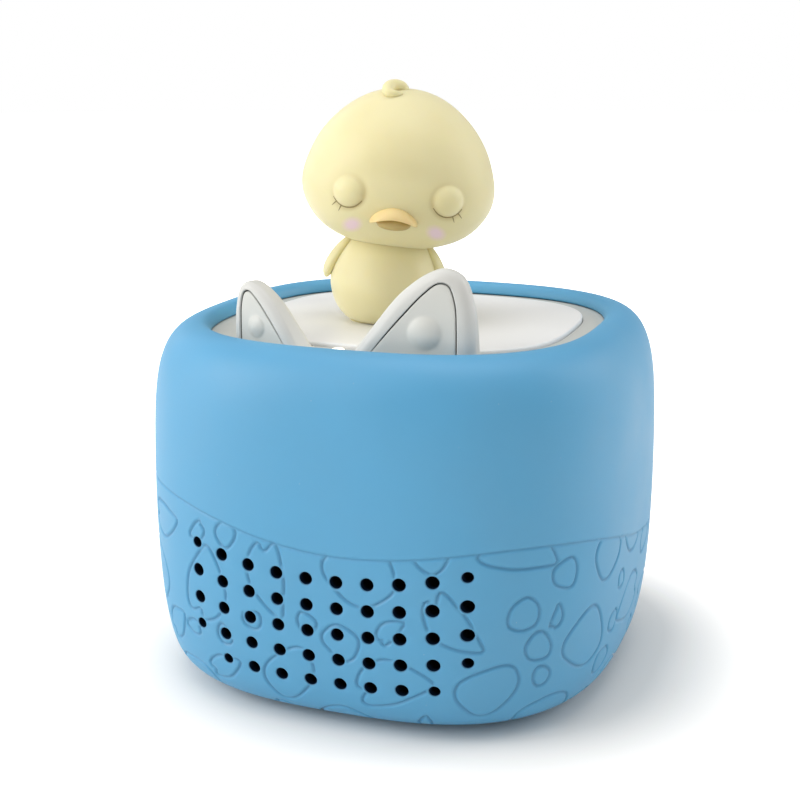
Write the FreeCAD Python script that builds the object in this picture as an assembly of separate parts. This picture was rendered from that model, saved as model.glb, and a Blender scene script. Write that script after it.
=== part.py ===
import FreeCAD, Part
import math
import os
from FreeCAD import Placement, Rotation, Vector

# Audio story player: a soft square-round box with two ear-shaped keys on its top deck and a
# removable chick figure standing on its plate. Millimetres. +Z is up, the speaker grille faces
# -Y, and the origin is on the table under the middle of the box.

# ---- driving dimensions ------------------------------------------------------------------
BODY_HALF = 60.7          # control half width of the sleeve at its belly
BODY_HEIGHT = 89.4        # table to the crest of the sleeve's lip
PLAN_POWER = 2.78         # squircle power of the plan
PLAN_POINTS = 32          # points that carry the squircle

FOOT_GAP = 0.8            # the sleeve's underside above the table
FLAT_INSET = 18.8         # belly to the edge of the flat underside
TOE_INSET = 6.3           # belly to the control corner of the bottom rounding
HEEL_INSET = 1.6
HEEL_HEIGHT = 9.6
BELLY_LOW = 33.0
SHOULDER_DROP = 26.4      # crest down to the upper belly control point
SHOULDER_INSET = 1.8
CREST_INSET = 11.4        # belly to the crest of the lip

SLEEVE_WALL = 2.6
SLEEVE_FIT = 0.25         # between the soft sleeve and the hard housing
LIP_DEPTH = 3.2           # crest down to the deck
LIP_OVERLAP = 13.7        # belly to the edge of the top opening
LIP_ROUND = 2.0
UNDER_OPENING_INSET = 20.7

HOUSING_WALL = 2.0
DECK_THICKNESS = 2.4
BASE_SPLIT = 9.5          # height where the base plate meets the chassis
BEZEL_SKIRT = 6.2         # how far the bezel's skirt hangs below the deck

# ---- speaker grille ----------------------------------------------------------------------
HOLE_COLUMNS = 10
HOLE_ROWS = 5
HOLE_PITCH_X = 7.36
HOLE_PITCH_Z = 6.37
HOLE_ROW_MID_Z = 25.9
HOLE_RADIUS = 1.5
CORNER_HOLE_RADIUS = 1.25
BACKING_HOLE_RADIUS = 1.8
ROW_LIFT = 0.00232        # rows rise towards the sides by this times x squared
ROW_LIFT_STEP = 0.00048   # less for each lower row

# ---- stand plate, figure spot, indicator -------------------------------------------------
PLATE_HALF_X = 41.0
PLATE_HALF_Y = 37.2
PLATE_CENTRE_Y = 3.2
PLATE_POWER = 3.0
PLATE_THICKNESS = 2.2
PLATE_PROUD = 1.0
PLATE_FIT = 0.2
SPOT = (-8.6, -1.8)       # where the figure stands
LAMP_X, LAMP_Y = -4.6, -37.8
LAMP_RADIUS = 1.5
LAMP_FLANGE = 0.9
LAMP_PEG_SPREAD = 5.0
LAMP_BOARD_DROP = 3.0     # the lamp's board below the deck's underside
AERIAL_RADIUS, AERIAL_BORE = 25.0, 9.2
AERIAL_THICKNESS = 1.0
COIL_RADII = (23.2, 21.8, 20.4, 19.0)
STAND_MAGNET_RADIUS, STAND_MAGNET_HEIGHT = 9.0, 4.0

# ---- ears --------------------------------------------------------------------------------
# Outlines of the large ear in its own face: across, and up from the deck.
EAR_OUTLINE = [(-14.5, 0.0), (-8.9, 7.3), (-2.0, 15.2), (4.2, 19.8), (8.4, 21.1),
               (12.2, 19.2), (14.3, 13.0), (14.7, 0.0)]
KEY_OUTLINE = [(-9.3, 0.3), (-1.0, 10.0), (4.2, 15.6), (7.4, 17.9), (9.7, 17.5),
               (11.3, 13.6), (11.8, 7.5), (11.8, 0.3)]
SMALL_EAR_RATIO = 0.72
LARGE_EAR = {"name": "ear_large", "x": 13.5, "y": -43.3, "turn": 6.0, "ratio": 1.0,
             "mirror": 1, "depth": 8.5}
SMALL_EAR = {"name": "ear_small", "x": -21.3, "y": -41.0, "turn": -20.0,
             "ratio": SMALL_EAR_RATIO, "mirror": -1, "depth": 7.4}
EAR_FRONT_ROUND = 1.2
EAR_BACK_ROUND = 2.2
EAR_BACK_TILT = 7.0       # the back leans forward, so an ear thins towards its tip
KEY_FIT = 0.35            # gap all round a key in its ear
KEY_THICKNESS = 1.8
KEY_TRAVEL = 0.8
KEY_REST_GAP = 0.2        # left behind a fully pressed key
KEY_DOME = (4.7, 6.8, 3.8, 1.6)   # across, up, radius and height of the dome to press
TENON_DROP = 3.2
SWITCH_HALF = 2.3
SWITCH_THICKNESS = 1.5
EAR_BOARD_THICKNESS = 0.8
PLUNGER_RADIUS = 1.1
SWITCH_BORE = 1.3
STEM_RADIUS, STEM_LENGTH = 1.8, 0.5
KEY_SET_BACK = 0.1        # the key's face behind the ear's face
EAR_BACK_WALL = 1.5
TENON_HALF = 5.4
EAR_CAVITY_HALF = 4.4
EAR_BOARD_HALF = 4.0

# ---- speaker -----------------------------------------------------------------------------
SPEAKER_Z = 28.0
CHAMBER_HALF_X = 37.0
CHAMBER_LOW, CHAMBER_HIGH = 11.2, 45.2
CHAMBER_WALL = 1.5
BAFFLE_Y = -46.0
BAFFLE_THICKNESS = 2.0
BAFFLE_FIT = 0.4
SPEAKER_RADIUS = 17.5
SPEAKER_OPENING = 14.5
SPEAKER_MAGNET_DEPTH = 7.0
CONE_RADIUS = 12.2
CONE_START = 1.0          # the cone's rim behind the flange
CONE_DEPTH = 4.25
COIL_RADIUS, COIL_WALL = 4.1, 0.4
COIL_LENGTH = 5.25
BASKET_DEPTH = 8.2
FLANGE_THICKNESS = 1.2
GASKET_THICKNESS = 0.8
SURROUND_RADIUS, SURROUND_ROLL = 13.5, 1.0
CLOTH_THICKNESS = 0.4

# ---- battery, boards, ports --------------------------------------------------------------
CELL_RADIUS = 9.2
CELL_LENGTH = 65.0
CELL_Y = 15.0
CELL_SEAT = 1.6
CELL_FIT = 0.1
CRADLE_WALL = 1.3
CRADLE_FLOOR = 1.2
CRADLE_HALF_X, CRADLE_GAP_HALF_X = 26.0, 16.0
STRAP_WIDTH, STRAP_THICKNESS = 8.0, 1.1
BOARD_HALF_X = 32.0
BOARD_Y0, BOARD_Y1 = -20.0, 36.0
BOARD_Z = 52.0
BOARD_THICKNESS = 1.6
HEADER_HEIGHT = 4.5
# (x0, x1, y0, y1) of what stands on the boards.
MAIN_HEADERS = [(-24, -16, -18.5, -14.5), (-5, 5, -18.5, -14.5), (14, 22, -18.5, -14.5),
                (-6, 4, 28, 32), (-30, -26, 2, 10), (26, 30, 2, 10)]
PORT_HEADER, PORT_HEADER_HEIGHT = (-7, 1, 37.5, 40.5), 3.0
PROCESSOR, PROCESSOR_HEIGHT = (-6, 6, 0, 12), 1.2
MEMORY, MEMORY_HEIGHT = (10, 20, 2, 12), 1.0
RADIO, RADIO_HEIGHT = (-24, -10, 14, 28), 2.4
EAR_LEAD_RADIUS = 0.55
POST_RADIUS = 3.5
POST_X = 27.5
POST_FRONT_Y, POST_REAR_Y = -15.5, 31.5
SCREW_RADIUS = 1.2
SCREW_HEAD_RADIUS = 2.4
SCREW_HEAD = 1.6
PILOT_FIT = 0.05
HEAD_FIT = 0.3
PORT_HALF_X = 25.0
PORT_HALF_Z = 8.0
PORT_Z = 26.0
PORT_FACE_Y = BODY_HALF - 4.7
PORT_WALL = 3.0
WINDOW_STEP = 1.0         # the sleeve's window is this much larger all round
PANEL_BORDER = 1.6
PORT_BOARD_Z = 22.0
PORT_BOARD_THICKNESS = 1.2
JACK_X = 0.0
JACK_BORE = 1.8
JACK_LENGTH = 14.0
SOCKET_X = -14.5
SOCKET_WIDTH, SOCKET_HEIGHT, SOCKET_LENGTH = 8.94, 3.2, 7.4
POWER_X = 14.5
POWER_RADIUS = 4.0
POWER_TRAVEL = 0.8
POWER_PROUD = 0.8
POWER_FLANGE = 1.1        # thickness of the flange behind the panel
PLUNGER_LENGTH = 3.3
PORT_AXIS_RISE = 2.9      # middle of the jack and the button above the port board
PORT_BOARD_HALF_X = 24.0
PORT_BOARD_Y0 = 37.0
PORT_BOARD_GAP = 0.3      # between the board's edge and the pressed button
PORT_SCREW_X, PORT_SCREW_Y = 21.7, 41.0
PORT_RAIL_X0, PORT_RAIL_X1 = 20.0, 23.5

FOOT_RADIUS = 6.5
FOOT_SPREAD = 25.0
BOSS_SPREAD = 36.0
BOSS_RADIUS = 4.0
BOSS_HEIGHT = 13.0
WEB_HALF = 0.8
TAB_X = 47.5
TAB_YS = (-15.0, 20.0)
TAB_RADIUS = 3.6
TAB_LOW, TAB_THICKNESS = 73.0, 2.4

# ---- chick figure ------------------------------------------------------------------------
FIGURE_TURN = 19.5        # it looks to the front right
HEAD_LEAN = 5.9           # the head nods to one side
BODY_LEAN = 7.5
# Control points (half width, height) of round forms, each from its lowest to its highest.
BODY_PROFILE = [(7.8, -2.0), (10.4, -0.5), (12.3, 6.5), (12.2, 13.0), (9.6, 19.0), (8.0, 24.0)]
HEAD_PROFILE = [(1.2, -22.2), (14.0, -22.2), (25.2, -12.4), (23.4, -1.9), (18.1, 9.3),
                (6.9, 16.9), (1.2, 16.9)]
BEAK_PROFILE = [(0.6, -2.9), (4.6, -2.9), (6.8, 0.0), (4.6, 2.9), (0.6, 2.9)]
WING_PROFILE = [(0.4, -5.8), (2.8, -5.4), (4.8, -1.0), (4.2, 3.9), (1.6, 5.4)]
TUFT_PROFILE = [(2.2, -1.5), (2.8, 0.0), (1.6, 2.2), (0.3, 2.6)]
HEAD_SIDE = 6.4           # the head's own centre, aside of the base
HEAD_UP = 40.5            # and above the plate
HEAD_BACK = 1.0
HEAD_DEPTH = 0.86         # front to back over side to side
WING_SIDE = 11.8
WING_UP = 10.9
WING_THICKNESS = 0.45
BEAK_UP = -12.4           # from the head's own centre
BEAK_OUT = 17.8
FIG_WALL = 2.0
CUP_RADIUS = 7.0
CUP_DEPTH = 4.6
FIGURE_MAGNET_RADIUS = 5.0
TAG_THICKNESS = 0.4
BASE_CAP = 1.0

# ---- heights that follow from the sizes above ---------------------------------------------
DECK_Z = BODY_HEIGHT - LIP_DEPTH
DECK_UNDER = DECK_Z - DECK_THICKNESS
BEZEL_SPLIT = DECK_Z - BEZEL_SKIRT
PLATE_TOP = DECK_Z + PLATE_PROUD
PLATE_UNDER = PLATE_TOP - PLATE_THICKNESS
HOUSING_INSET = SLEEVE_WALL + SLEEVE_FIT
HOUSING_BOTTOM = FOOT_GAP + HOUSING_INSET
FLOOR_Z = HOUSING_BOTTOM + HOUSING_WALL
FAR = 200.0

os.makedirs("parts", exist_ok=True)


# ---- helpers -----------------------------------------------------------------------------
def save(name, shape):
    """Writes one named piece, after checking that it is sound."""
    solids = shape.Solids
    if not solids or not all(s.isValid() and s.Volume > 0 for s in solids):
        raise ValueError(name + " is not a sound solid")
    out = solids[0] if len(solids) == 1 else Part.makeCompound(solids)
    out.exportStep("parts/" + name + ".step")


def squircle_points(half_x, half_y, power):
    """Points round a squircle, from the back, for a closed spline."""
    points = []
    for k in range(PLAN_POINTS):
        angle = math.radians(90.0 + 360.0 * k / PLAN_POINTS)
        c, s = math.cos(angle), math.sin(angle)
        r = (abs(c) ** power + abs(s) ** power) ** (-1.0 / power)
        points.append(Vector(half_x * r * c, half_y * r * s, 0))
    return points


def squircle_prism(half_x, half_y, power, z0, z1, centre_y=0.0):
    curve = Part.BSplineCurve()
    curve.interpolate(Points=squircle_points(half_x, half_y, power), PeriodicFlag=True)
    face = Part.Face(Part.Wire(curve.toShape()))
    prism = face.extrude(Vector(0, 0, z1 - z0))
    prism.translate(Vector(0, centre_y, z0))
    return prism


def body_profile(inset, bottom, top):
    """Control points (half width, height) of the body's side, moved inwards by inset."""
    return [(BODY_HALF - FLAT_INSET - inset, bottom),
            (BODY_HALF - TOE_INSET - inset, bottom),
            (BODY_HALF - HEEL_INSET - inset, bottom + HEEL_HEIGHT - FOOT_GAP),
            (BODY_HALF - inset, BELLY_LOW),
            (BODY_HALF - inset, BODY_HEIGHT - SHOULDER_DROP),
            (BODY_HALF - SHOULDER_INSET - inset, top),
            (BODY_HALF - CREST_INSET - inset, top)]


def pillow(profile, power=PLAN_POWER, depth=1.0):
    """A closed solid: a squircle plan scaled along a cubic spline of (half width, height)."""
    plan = Part.BSplineCurve()
    plan.interpolate(Points=squircle_points(1, depth, power), PeriodicFlag=True)
    poles = [[Vector(p.x * w, p.y * w, z) for w, z in profile] for p in plan.getPoles()]
    spans = len(profile) - 3
    knots = [k / spans for k in range(spans + 1)]
    mults = [4] + [1] * (spans - 1) + [4]
    surface = Part.BSplineSurface()
    surface.buildFromPolesMultsKnots(poles, plan.getMultiplicities(), mults,
                                     plan.getKnots(), knots, True, False, 3, 3)
    side = surface.toShape()
    caps = [Part.Face(Part.Wire(surface.vIso(v).toShape())) for v in (0.0, 1.0)]
    shell = Part.Shell([side] + caps)
    shell.sewShape()
    solid = Part.Solid(shell)
    if solid.Volume < 0:
        solid.reverse()
    return solid


def slab(z0, z1):
    """Everything between two heights."""
    return Part.makeBox(2 * FAR, 2 * FAR, z1 - z0, Vector(-FAR, -FAR, z0))


def block(x0, x1, y0, y1, z0, z1):
    return Part.makeBox(x1 - x0, y1 - y0, z1 - z0, Vector(x0, y0, z0))


def rod(radius, z0, z1, x=0.0, y=0.0):
    return Part.makeCylinder(radius, z1 - z0, Vector(x, y, z0))


def rod_y(radius, y0, y1, x, z):
    return Part.makeCylinder(radius, y1 - y0, Vector(x, y0, z), Vector(0, 1, 0))


def joined(first, others):
    return first.multiFuse(list(others))


def stadium(half_x, half_z, centre_z, y0, y1):
    """A race-track block across the box, with its flat ends at y0 and y1."""
    straight = half_x - half_z
    ends = [rod_y(half_z, y0, y1, x, centre_z) for x in (-straight, straight)]
    bar = block(-straight, straight, y0, y1, centre_z - half_z, centre_z + half_z)
    return joined(bar, ends)


def spline_face(points):
    """A flat face in XZ: a spline through the points, closed by a straight base."""
    vectors = [Vector(x, 0, z) for x, z in points]
    curve = Part.BSplineCurve()
    curve.interpolate(vectors)
    base = Part.makeLine(vectors[-1], vectors[0])
    return Part.Face(Part.Wire([curve.toShape(), base]))


def lead(points, radius):
    """A wire: straight runs joined by tangent arcs as large as the runs allow."""
    points = [Vector(*p) for p in points]
    edges = []
    here = points[0]
    for before, corner, after in zip(points, points[1:], points[2:]):
        a, b = before - corner, after - corner
        half_turn = (math.pi - a.getAngle(b)) / 2
        reach = 0.45 * min(a.Length, b.Length)
        radius_here = reach / math.tan(half_turn)
        start = corner + a * (reach / a.Length)
        end = corner + b * (reach / b.Length)
        inward = (a.normalize() + b.normalize()).normalize()
        centre = corner + inward * (radius_here / math.cos(half_turn))
        middle = centre - inward * radius_here
        edges.append(Part.makeLine(here, start))
        edges.append(Part.Arc(start, middle, end).toShape())
        here = end
    edges.append(Part.makeLine(here, points[-1]))
    path = Part.Wire(edges)
    way = points[1] - points[0]
    ring = Part.Wire(Part.makeCircle(radius, points[0], way))
    return path.makePipeShell([ring], True, False)


def screw(x, y, seat_z, length, up=True):
    """A pan-head screw whose head rests on seat_z; up points its shank upwards."""
    way = 1 if up else -1
    shank = Part.makeCylinder(SCREW_RADIUS, length, Vector(x, y, seat_z), Vector(0, 0, way))
    head = Part.makeCylinder(SCREW_HEAD_RADIUS, SCREW_HEAD, Vector(x, y, seat_z),
                             Vector(0, 0, -way))
    slot = Part.makeBox(2 * SCREW_HEAD_RADIUS, 0.5, 0.7,
                        Vector(x - SCREW_HEAD_RADIUS, y - 0.25,
                               seat_z - way * SCREW_HEAD + (0 if up else -0.7)))
    return joined(shank, [head]).cut(slot)


CORNERS = [(sx, sy) for sx in (-1, 1) for sy in (-1, 1)]


# ---- speaker hole pattern ------------------------------------------------------------------
def hole_places():
    """(x, z, is a corner) of each grille hole; the two bottom corners are left out."""
    places = []
    for column in range(HOLE_COLUMNS):
        x = (column - (HOLE_COLUMNS - 1) / 2) * HOLE_PITCH_X
        outer = column in (0, HOLE_COLUMNS - 1)
        beside = column in (1, HOLE_COLUMNS - 2)
        for row in range(HOLE_ROWS):
            if outer and row == HOLE_ROWS - 1:
                continue
            from_mid = row - (HOLE_ROWS - 1) / 2
            z = HOLE_ROW_MID_Z - from_mid * HOLE_PITCH_Z
            z += (ROW_LIFT - ROW_LIFT_STEP * from_mid) * x * x
            corner = outer and row in (0, HOLE_ROWS - 2) or beside and row == HOLE_ROWS - 1
            places.append((x, z, corner))
    return places


def hole_pins(radius, corner_radius):
    pins = [rod_y(corner_radius if corner else radius, -BODY_HALF - 5, BAFFLE_Y, x, z)
            for x, z, corner in hole_places()]
    return Part.makeCompound(pins)


# ---- soft outer sleeve ----------------------------------------------------------------------
def make_sleeve():
    """One moulded soft shell from the underside, over the lip, to the top opening."""
    outer = pillow(body_profile(0.0, FOOT_GAP, BODY_HEIGHT))
    cavity = pillow(body_profile(SLEEVE_WALL, FOOT_GAP + SLEEVE_WALL, DECK_Z + SLEEVE_FIT))
    opening_half = BODY_HALF - LIP_OVERLAP
    opening = squircle_prism(opening_half, opening_half, PLAN_POWER, DECK_Z - 8,
                             BODY_HEIGHT + 5)
    top_hole = outer.cut(opening)
    rim = [e for e in top_hole.Edges
           if abs(e.BoundBox.ZMin - BODY_HEIGHT) < 0.01
           and abs(e.BoundBox.ZMax - BODY_HEIGHT) < 0.01
           and abs(e.BoundBox.XMax - opening_half) < 0.3]
    rounded = top_hole.makeFillet(LIP_ROUND, rim)
    under_half = BODY_HALF - UNDER_OPENING_INSET
    under = squircle_prism(under_half, under_half, PLAN_POWER, -1, FOOT_GAP + SLEEVE_WALL + 1)
    window = stadium(PORT_HALF_X + WINDOW_STEP, PORT_HALF_Z + WINDOW_STEP, PORT_Z,
                     PORT_FACE_Y - 8,
                     BODY_HALF + 5)
    shell = rounded.cut(cavity).cut(under).cut(window)
    return shell.cut(hole_pins(HOLE_RADIUS, CORNER_HOLE_RADIUS))


# ---- hard housing: base plate, chassis, bezel -------------------------------------------------
def make_core():
    return pillow(body_profile(HOUSING_INSET, HOUSING_BOTTOM, DECK_Z))


def make_hollow():
    return pillow(body_profile(HOUSING_INSET + HOUSING_WALL, FLOOR_Z, DECK_UNDER))


def make_base(core, hollow):
    """Dish that closes the underside, with its screw pads and the board posts."""
    shell = core.cut(hollow).common(slab(0, BASE_SPLIT))
    head_seat = BASE_SPLIT - HOUSING_WALL
    pads = [rod(BOSS_RADIUS, HOUSING_BOTTOM, BASE_SPLIT, sx * BOSS_SPREAD, sy * BOSS_SPREAD)
            for sx, sy in CORNERS]
    posts = [rod(POST_RADIUS, FLOOR_Z - 0.5, BOARD_Z, sx * POST_X, y)
             for sx in (-1, 1) for y in (POST_FRONT_Y, POST_REAR_Y)]
    base = joined(shell, [p.common(core) for p in pads] + posts)
    for sx, sy in CORNERS:
        x, y = sx * BOSS_SPREAD, sy * BOSS_SPREAD
        base = base.cut(rod(SCREW_RADIUS + 0.2, 0, BASE_SPLIT + 1, x, y))
        base = base.cut(rod(SCREW_HEAD_RADIUS + HEAD_FIT, 0, head_seat, x, y))
    for sx in (-1, 1):
        for y in (POST_FRONT_Y, POST_REAR_Y):
            base = base.cut(rod(SCREW_RADIUS + PILOT_FIT, BOARD_Z - 9, BOARD_Z + 1,
                                sx * POST_X, y))
    return base


def chamber(grow, y0, y1):
    return block(-CHAMBER_HALF_X - grow, CHAMBER_HALF_X + grow, y0, y1,
                 CHAMBER_LOW - grow, CHAMBER_HIGH + grow)


def make_chassis(core, hollow):
    """Side wall of the housing, with the speaker chamber, the port panel and all bosses."""
    wall = core.cut(hollow).common(slab(BASE_SPLIT, BEZEL_SPLIT))
    reach = -BODY_HALF - 5
    frame = chamber(CHAMBER_WALL, reach, BAFFLE_Y).cut(chamber(0, reach, BAFFLE_Y))
    bosses = [rod(BOSS_RADIUS, BASE_SPLIT, BASE_SPLIT + BOSS_HEIGHT,
                  sx * BOSS_SPREAD, sy * BOSS_SPREAD) for sx, sy in CORNERS]
    webs = [block(min(sx * BOSS_SPREAD, sx * FAR), max(sx * BOSS_SPREAD, sx * FAR),
                  sy * BOSS_SPREAD - WEB_HALF, sy * BOSS_SPREAD + WEB_HALF,
                  BASE_SPLIT, BASE_SPLIT + BOSS_HEIGHT) for sx, sy in CORNERS]
    tabs = []
    for sx in (-1, 1):
        for y in TAB_YS:
            ear = rod(TAB_RADIUS, TAB_LOW, TAB_LOW + TAB_THICKNESS, sx * TAB_X, y)
            arm = block(min(sx * TAB_X, sx * FAR), max(sx * TAB_X, sx * FAR),
                        y - TAB_RADIUS, y + TAB_RADIUS, TAB_LOW, TAB_LOW + TAB_THICKNESS)
            tabs += [ear, arm]
    panel = stadium(PORT_HALF_X + PANEL_BORDER, PORT_HALF_Z + PANEL_BORDER, PORT_Z,
                    PORT_FACE_Y - PORT_WALL, FAR / 2)
    rails = [block(min(sx * PORT_RAIL_X0, sx * PORT_RAIL_X1),
                   max(sx * PORT_RAIL_X0, sx * PORT_RAIL_X1), PORT_BOARD_Y0, PORT_FACE_Y - 1,
                   PORT_BOARD_Z - 3, PORT_BOARD_Z) for sx in (-1, 1)]
    added = [p.common(core) for p in [frame, panel] + bosses + webs + tabs + rails]
    chassis = joined(wall, added)
    chassis = chassis.cut(stadium(PORT_HALF_X, PORT_HALF_Z, PORT_Z, PORT_FACE_Y, FAR / 2))
    chassis = chassis.cut(hole_pins(BACKING_HOLE_RADIUS, BACKING_HOLE_RADIUS))
    for sx, sy in CORNERS:
        chassis = chassis.cut(rod(SCREW_RADIUS + PILOT_FIT, BASE_SPLIT - 1, BASE_SPLIT + 10,
                                  sx * BOSS_SPREAD, sy * BOSS_SPREAD))
    for sx in (-1, 1):
        chassis = chassis.cut(rod(SCREW_RADIUS + PILOT_FIT, PORT_BOARD_Z - 3.5,
                                  PORT_BOARD_Z + 1, sx * PORT_SCREW_X, PORT_SCREW_Y))
        for y in TAB_YS:
            chassis = chassis.cut(rod(SCREW_RADIUS + 0.2, TAB_LOW - 1,
                                      TAB_LOW + TAB_THICKNESS + 1, sx * TAB_X, y))
    jack_z = port_axis_z()
    chassis = chassis.cut(rod_y(3.15, PORT_FACE_Y - 6, PORT_FACE_Y + 1, JACK_X, jack_z))
    chassis = chassis.cut(rod_y(POWER_RADIUS + 0.2, PORT_FACE_Y - 6, PORT_FACE_Y + 1,
                                POWER_X, jack_z))
    socket_z = PORT_BOARD_Z + PORT_BOARD_THICKNESS
    return chassis.cut(block(SOCKET_X - SOCKET_WIDTH / 2 - 0.3, SOCKET_X + SOCKET_WIDTH / 2 + 0.3,
                             PORT_FACE_Y - 6, PORT_FACE_Y + 1,
                             socket_z - 0.2, socket_z + SOCKET_HEIGHT + 0.3))


def make_bezel(core, hollow):
    """Deck and its skirt: pocket for the stand plate, slots for the ears, hole for the lamp."""
    shell = core.cut(hollow).common(slab(BEZEL_SPLIT, BODY_HEIGHT))
    tab_top = TAB_LOW + TAB_THICKNESS
    bosses = [rod(TAB_RADIUS, tab_top, DECK_UNDER + 0.5, sx * TAB_X, y)
              for sx in (-1, 1) for y in TAB_YS]
    pegs = [rod(1.1, DECK_UNDER - LAMP_BOARD_DROP, DECK_UNDER + 0.5, LAMP_X, LAMP_Y + dy)
            for dy in (-LAMP_PEG_SPREAD, LAMP_PEG_SPREAD)]
    bezel = joined(shell, bosses + pegs)
    pocket = squircle_prism(PLATE_HALF_X + PLATE_FIT, PLATE_HALF_Y + PLATE_FIT, PLATE_POWER,
                            PLATE_UNDER, BODY_HEIGHT, PLATE_CENTRE_Y)
    bezel = bezel.cut(pocket).cut(rod(LAMP_RADIUS + 0.1, DECK_UNDER - 1, DECK_Z + 1,
                                      LAMP_X, LAMP_Y))
    for ear in (SMALL_EAR, LARGE_EAR):
        bezel = bezel.cut(placed(tenon(ear, 0.1), ear))
    for sx in (-1, 1):
        for y in TAB_YS:
            bezel = bezel.cut(rod(SCREW_RADIUS + PILOT_FIT, tab_top - 1, tab_top + 6,
                                  sx * TAB_X, y))
    return bezel


def make_plate():
    """White plate that the figure stands on, with a softly rounded top edge."""
    plate = squircle_prism(PLATE_HALF_X, PLATE_HALF_Y, PLATE_POWER, PLATE_UNDER, PLATE_TOP,
                           PLATE_CENTRE_Y)
    rim = [e for e in plate.Edges
           if abs(e.BoundBox.ZMin - PLATE_TOP) < 0.01 and e.BoundBox.XLength > PLATE_HALF_X]
    return plate.makeFillet(0.5, rim)


# ---- ears ----------------------------------------------------------------------------------
def placed(shape, ear):
    """Turns a shape from an ear's own frame (face at y 0, looking to -Y) to its place."""
    moved = shape.copy()
    moved.Placement = Placement(Vector(ear["x"], ear["y"], DECK_Z),
                                Rotation(Vector(0, 0, 1), ear["turn"])).multiply(moved.Placement)
    return moved


def outline(points, ear):
    scaled = [(x * ear["ratio"] * ear["mirror"], z * ear["ratio"]) for x, z in points]
    return scaled if ear["mirror"] > 0 else scaled[::-1]


def prism_y(points, y0, y1):
    face = spline_face(points)
    shape = face.extrude(Vector(0, y1 - y0, 0))
    shape.translate(Vector(0, y0, 0))
    return shape


def key_spot(ear):
    """Middle of the dome, the stem and the switch, in the ear's own face."""
    return KEY_DOME[0] * ear["ratio"] * ear["mirror"], KEY_DOME[1] * ear["ratio"]


def key_pocket_depth():
    return KEY_THICKNESS + KEY_TRAVEL + KEY_REST_GAP


def board_face(ear):
    """Depth of the ear board's front face: it lies against the back of the cavity."""
    return ear["depth"] - EAR_BACK_WALL - EAR_BOARD_THICKNESS


def tenon(ear, grow):
    """Foot of the ear that passes down through the deck."""
    x = key_spot(ear)[0]
    return block(x - TENON_HALF - grow, x + TENON_HALF + grow, key_pocket_depth() + 0.4 - grow,
                 ear["depth"] - 0.9 + grow, -TENON_DROP, 0.0)


def make_ear_shell(ear):
    body = prism_y(outline(EAR_OUTLINE, ear), 0, ear["depth"])
    wedge = block(-FAR, FAR, 0, FAR, -FAR, FAR)
    wedge.rotate(Vector(0, 0, 0), Vector(1, 0, 0), EAR_BACK_TILT)
    wedge.translate(Vector(0, ear["depth"], 0))
    body = body.cut(wedge)
    front = [e for e in body.Edges if e.BoundBox.YMax < 0.01 and e.BoundBox.ZLength > 5]
    body = body.makeFillet(EAR_FRONT_ROUND, front)
    rear = max((f for f in body.Faces if f.Surface.TypeId == "Part::GeomPlane"),
               key=lambda f: f.CenterOfMass.y)
    back = [e for e in rear.Edges if e.BoundBox.ZLength > 5]
    body = body.makeFillet(EAR_BACK_ROUND * ear["depth"] / LARGE_EAR["depth"], back)
    pocket = prism_y(grown(outline(KEY_OUTLINE, ear), KEY_FIT), -1, key_pocket_depth())
    x, z = key_spot(ear)
    cavity = block(x - EAR_CAVITY_HALF, x + EAR_CAVITY_HALF, key_pocket_depth() - 0.5,
                   board_face(ear) + EAR_BOARD_THICKNESS, -TENON_DROP - 1, z + 3.4)
    return joined(body, [tenon(ear, 0)]).cut(pocket).cut(cavity)


def grown(points, by):
    """The outline pushed outwards by a gap, point by point, with its ends below the deck."""
    out = []
    last = len(points) - 1
    sign = 1.0 if points[0][0] < points[last][0] else -1.0
    for k, (x, z) in enumerate(points):
        x0, z0 = points[max(k - 1, 0)]
        x1, z1 = points[min(k + 1, last)]
        along = math.hypot(x1 - x0, z1 - z0)
        across_x = (z0 - z1) / along * sign * by
        across_z = (x1 - x0) / along * sign * by
        if k in (0, last):
            below = (-0.5 - z) * (x1 - x0) / (z1 - z0)
            out.append((x + across_x + below, -0.5))
        else:
            out.append((x + across_x, z + across_z))
    return out


def make_key(ear):
    """Inner ear: the panel that is pressed, its dome and the stem behind it."""
    back = KEY_SET_BACK + KEY_THICKNESS
    panel = prism_y(outline(KEY_OUTLINE, ear), KEY_SET_BACK, back)
    x, z = key_spot(ear)
    radius = KEY_DOME[2] * ear["ratio"]
    height = KEY_DOME[3] * ear["ratio"]
    ball = (radius * radius + height * height) / (2 * height)
    sphere = Part.makeSphere(ball, Vector(x, KEY_SET_BACK - height + ball, z))
    dome = sphere.common(block(x - radius - 1, x + radius + 1, -5, 0.6, z - radius - 1,
                               z + radius + 1))
    stem = rod_y(STEM_RADIUS, back - 0.2, stem_end(), x, z)
    return joined(panel, [dome, stem])


def stem_end():
    return KEY_SET_BACK + KEY_THICKNESS + STEM_LENGTH


def make_plunger(ear):
    """Switch plunger, carried by the key's stem and running in the switch."""
    x, z = key_spot(ear)
    return rod_y(PLUNGER_RADIUS, stem_end(), switch_face(ear) + 0.3, x, z)


def switch_face(ear):
    return board_face(ear) - SWITCH_THICKNESS


def make_switch(ear):
    x, z = key_spot(ear)
    body = block(x - SWITCH_HALF, x + SWITCH_HALF, switch_face(ear), board_face(ear),
                 z - SWITCH_HALF, z + SWITCH_HALF)
    return body.cut(rod_y(SWITCH_BORE, switch_face(ear) - 1, board_face(ear) - 0.2, x, z))


def make_ear_board(ear):
    x, z = key_spot(ear)
    return block(x - EAR_BOARD_HALF, x + EAR_BOARD_HALF, board_face(ear),
                 board_face(ear) + EAR_BOARD_THICKNESS, -TENON_DROP, z + 3.0)


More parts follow.
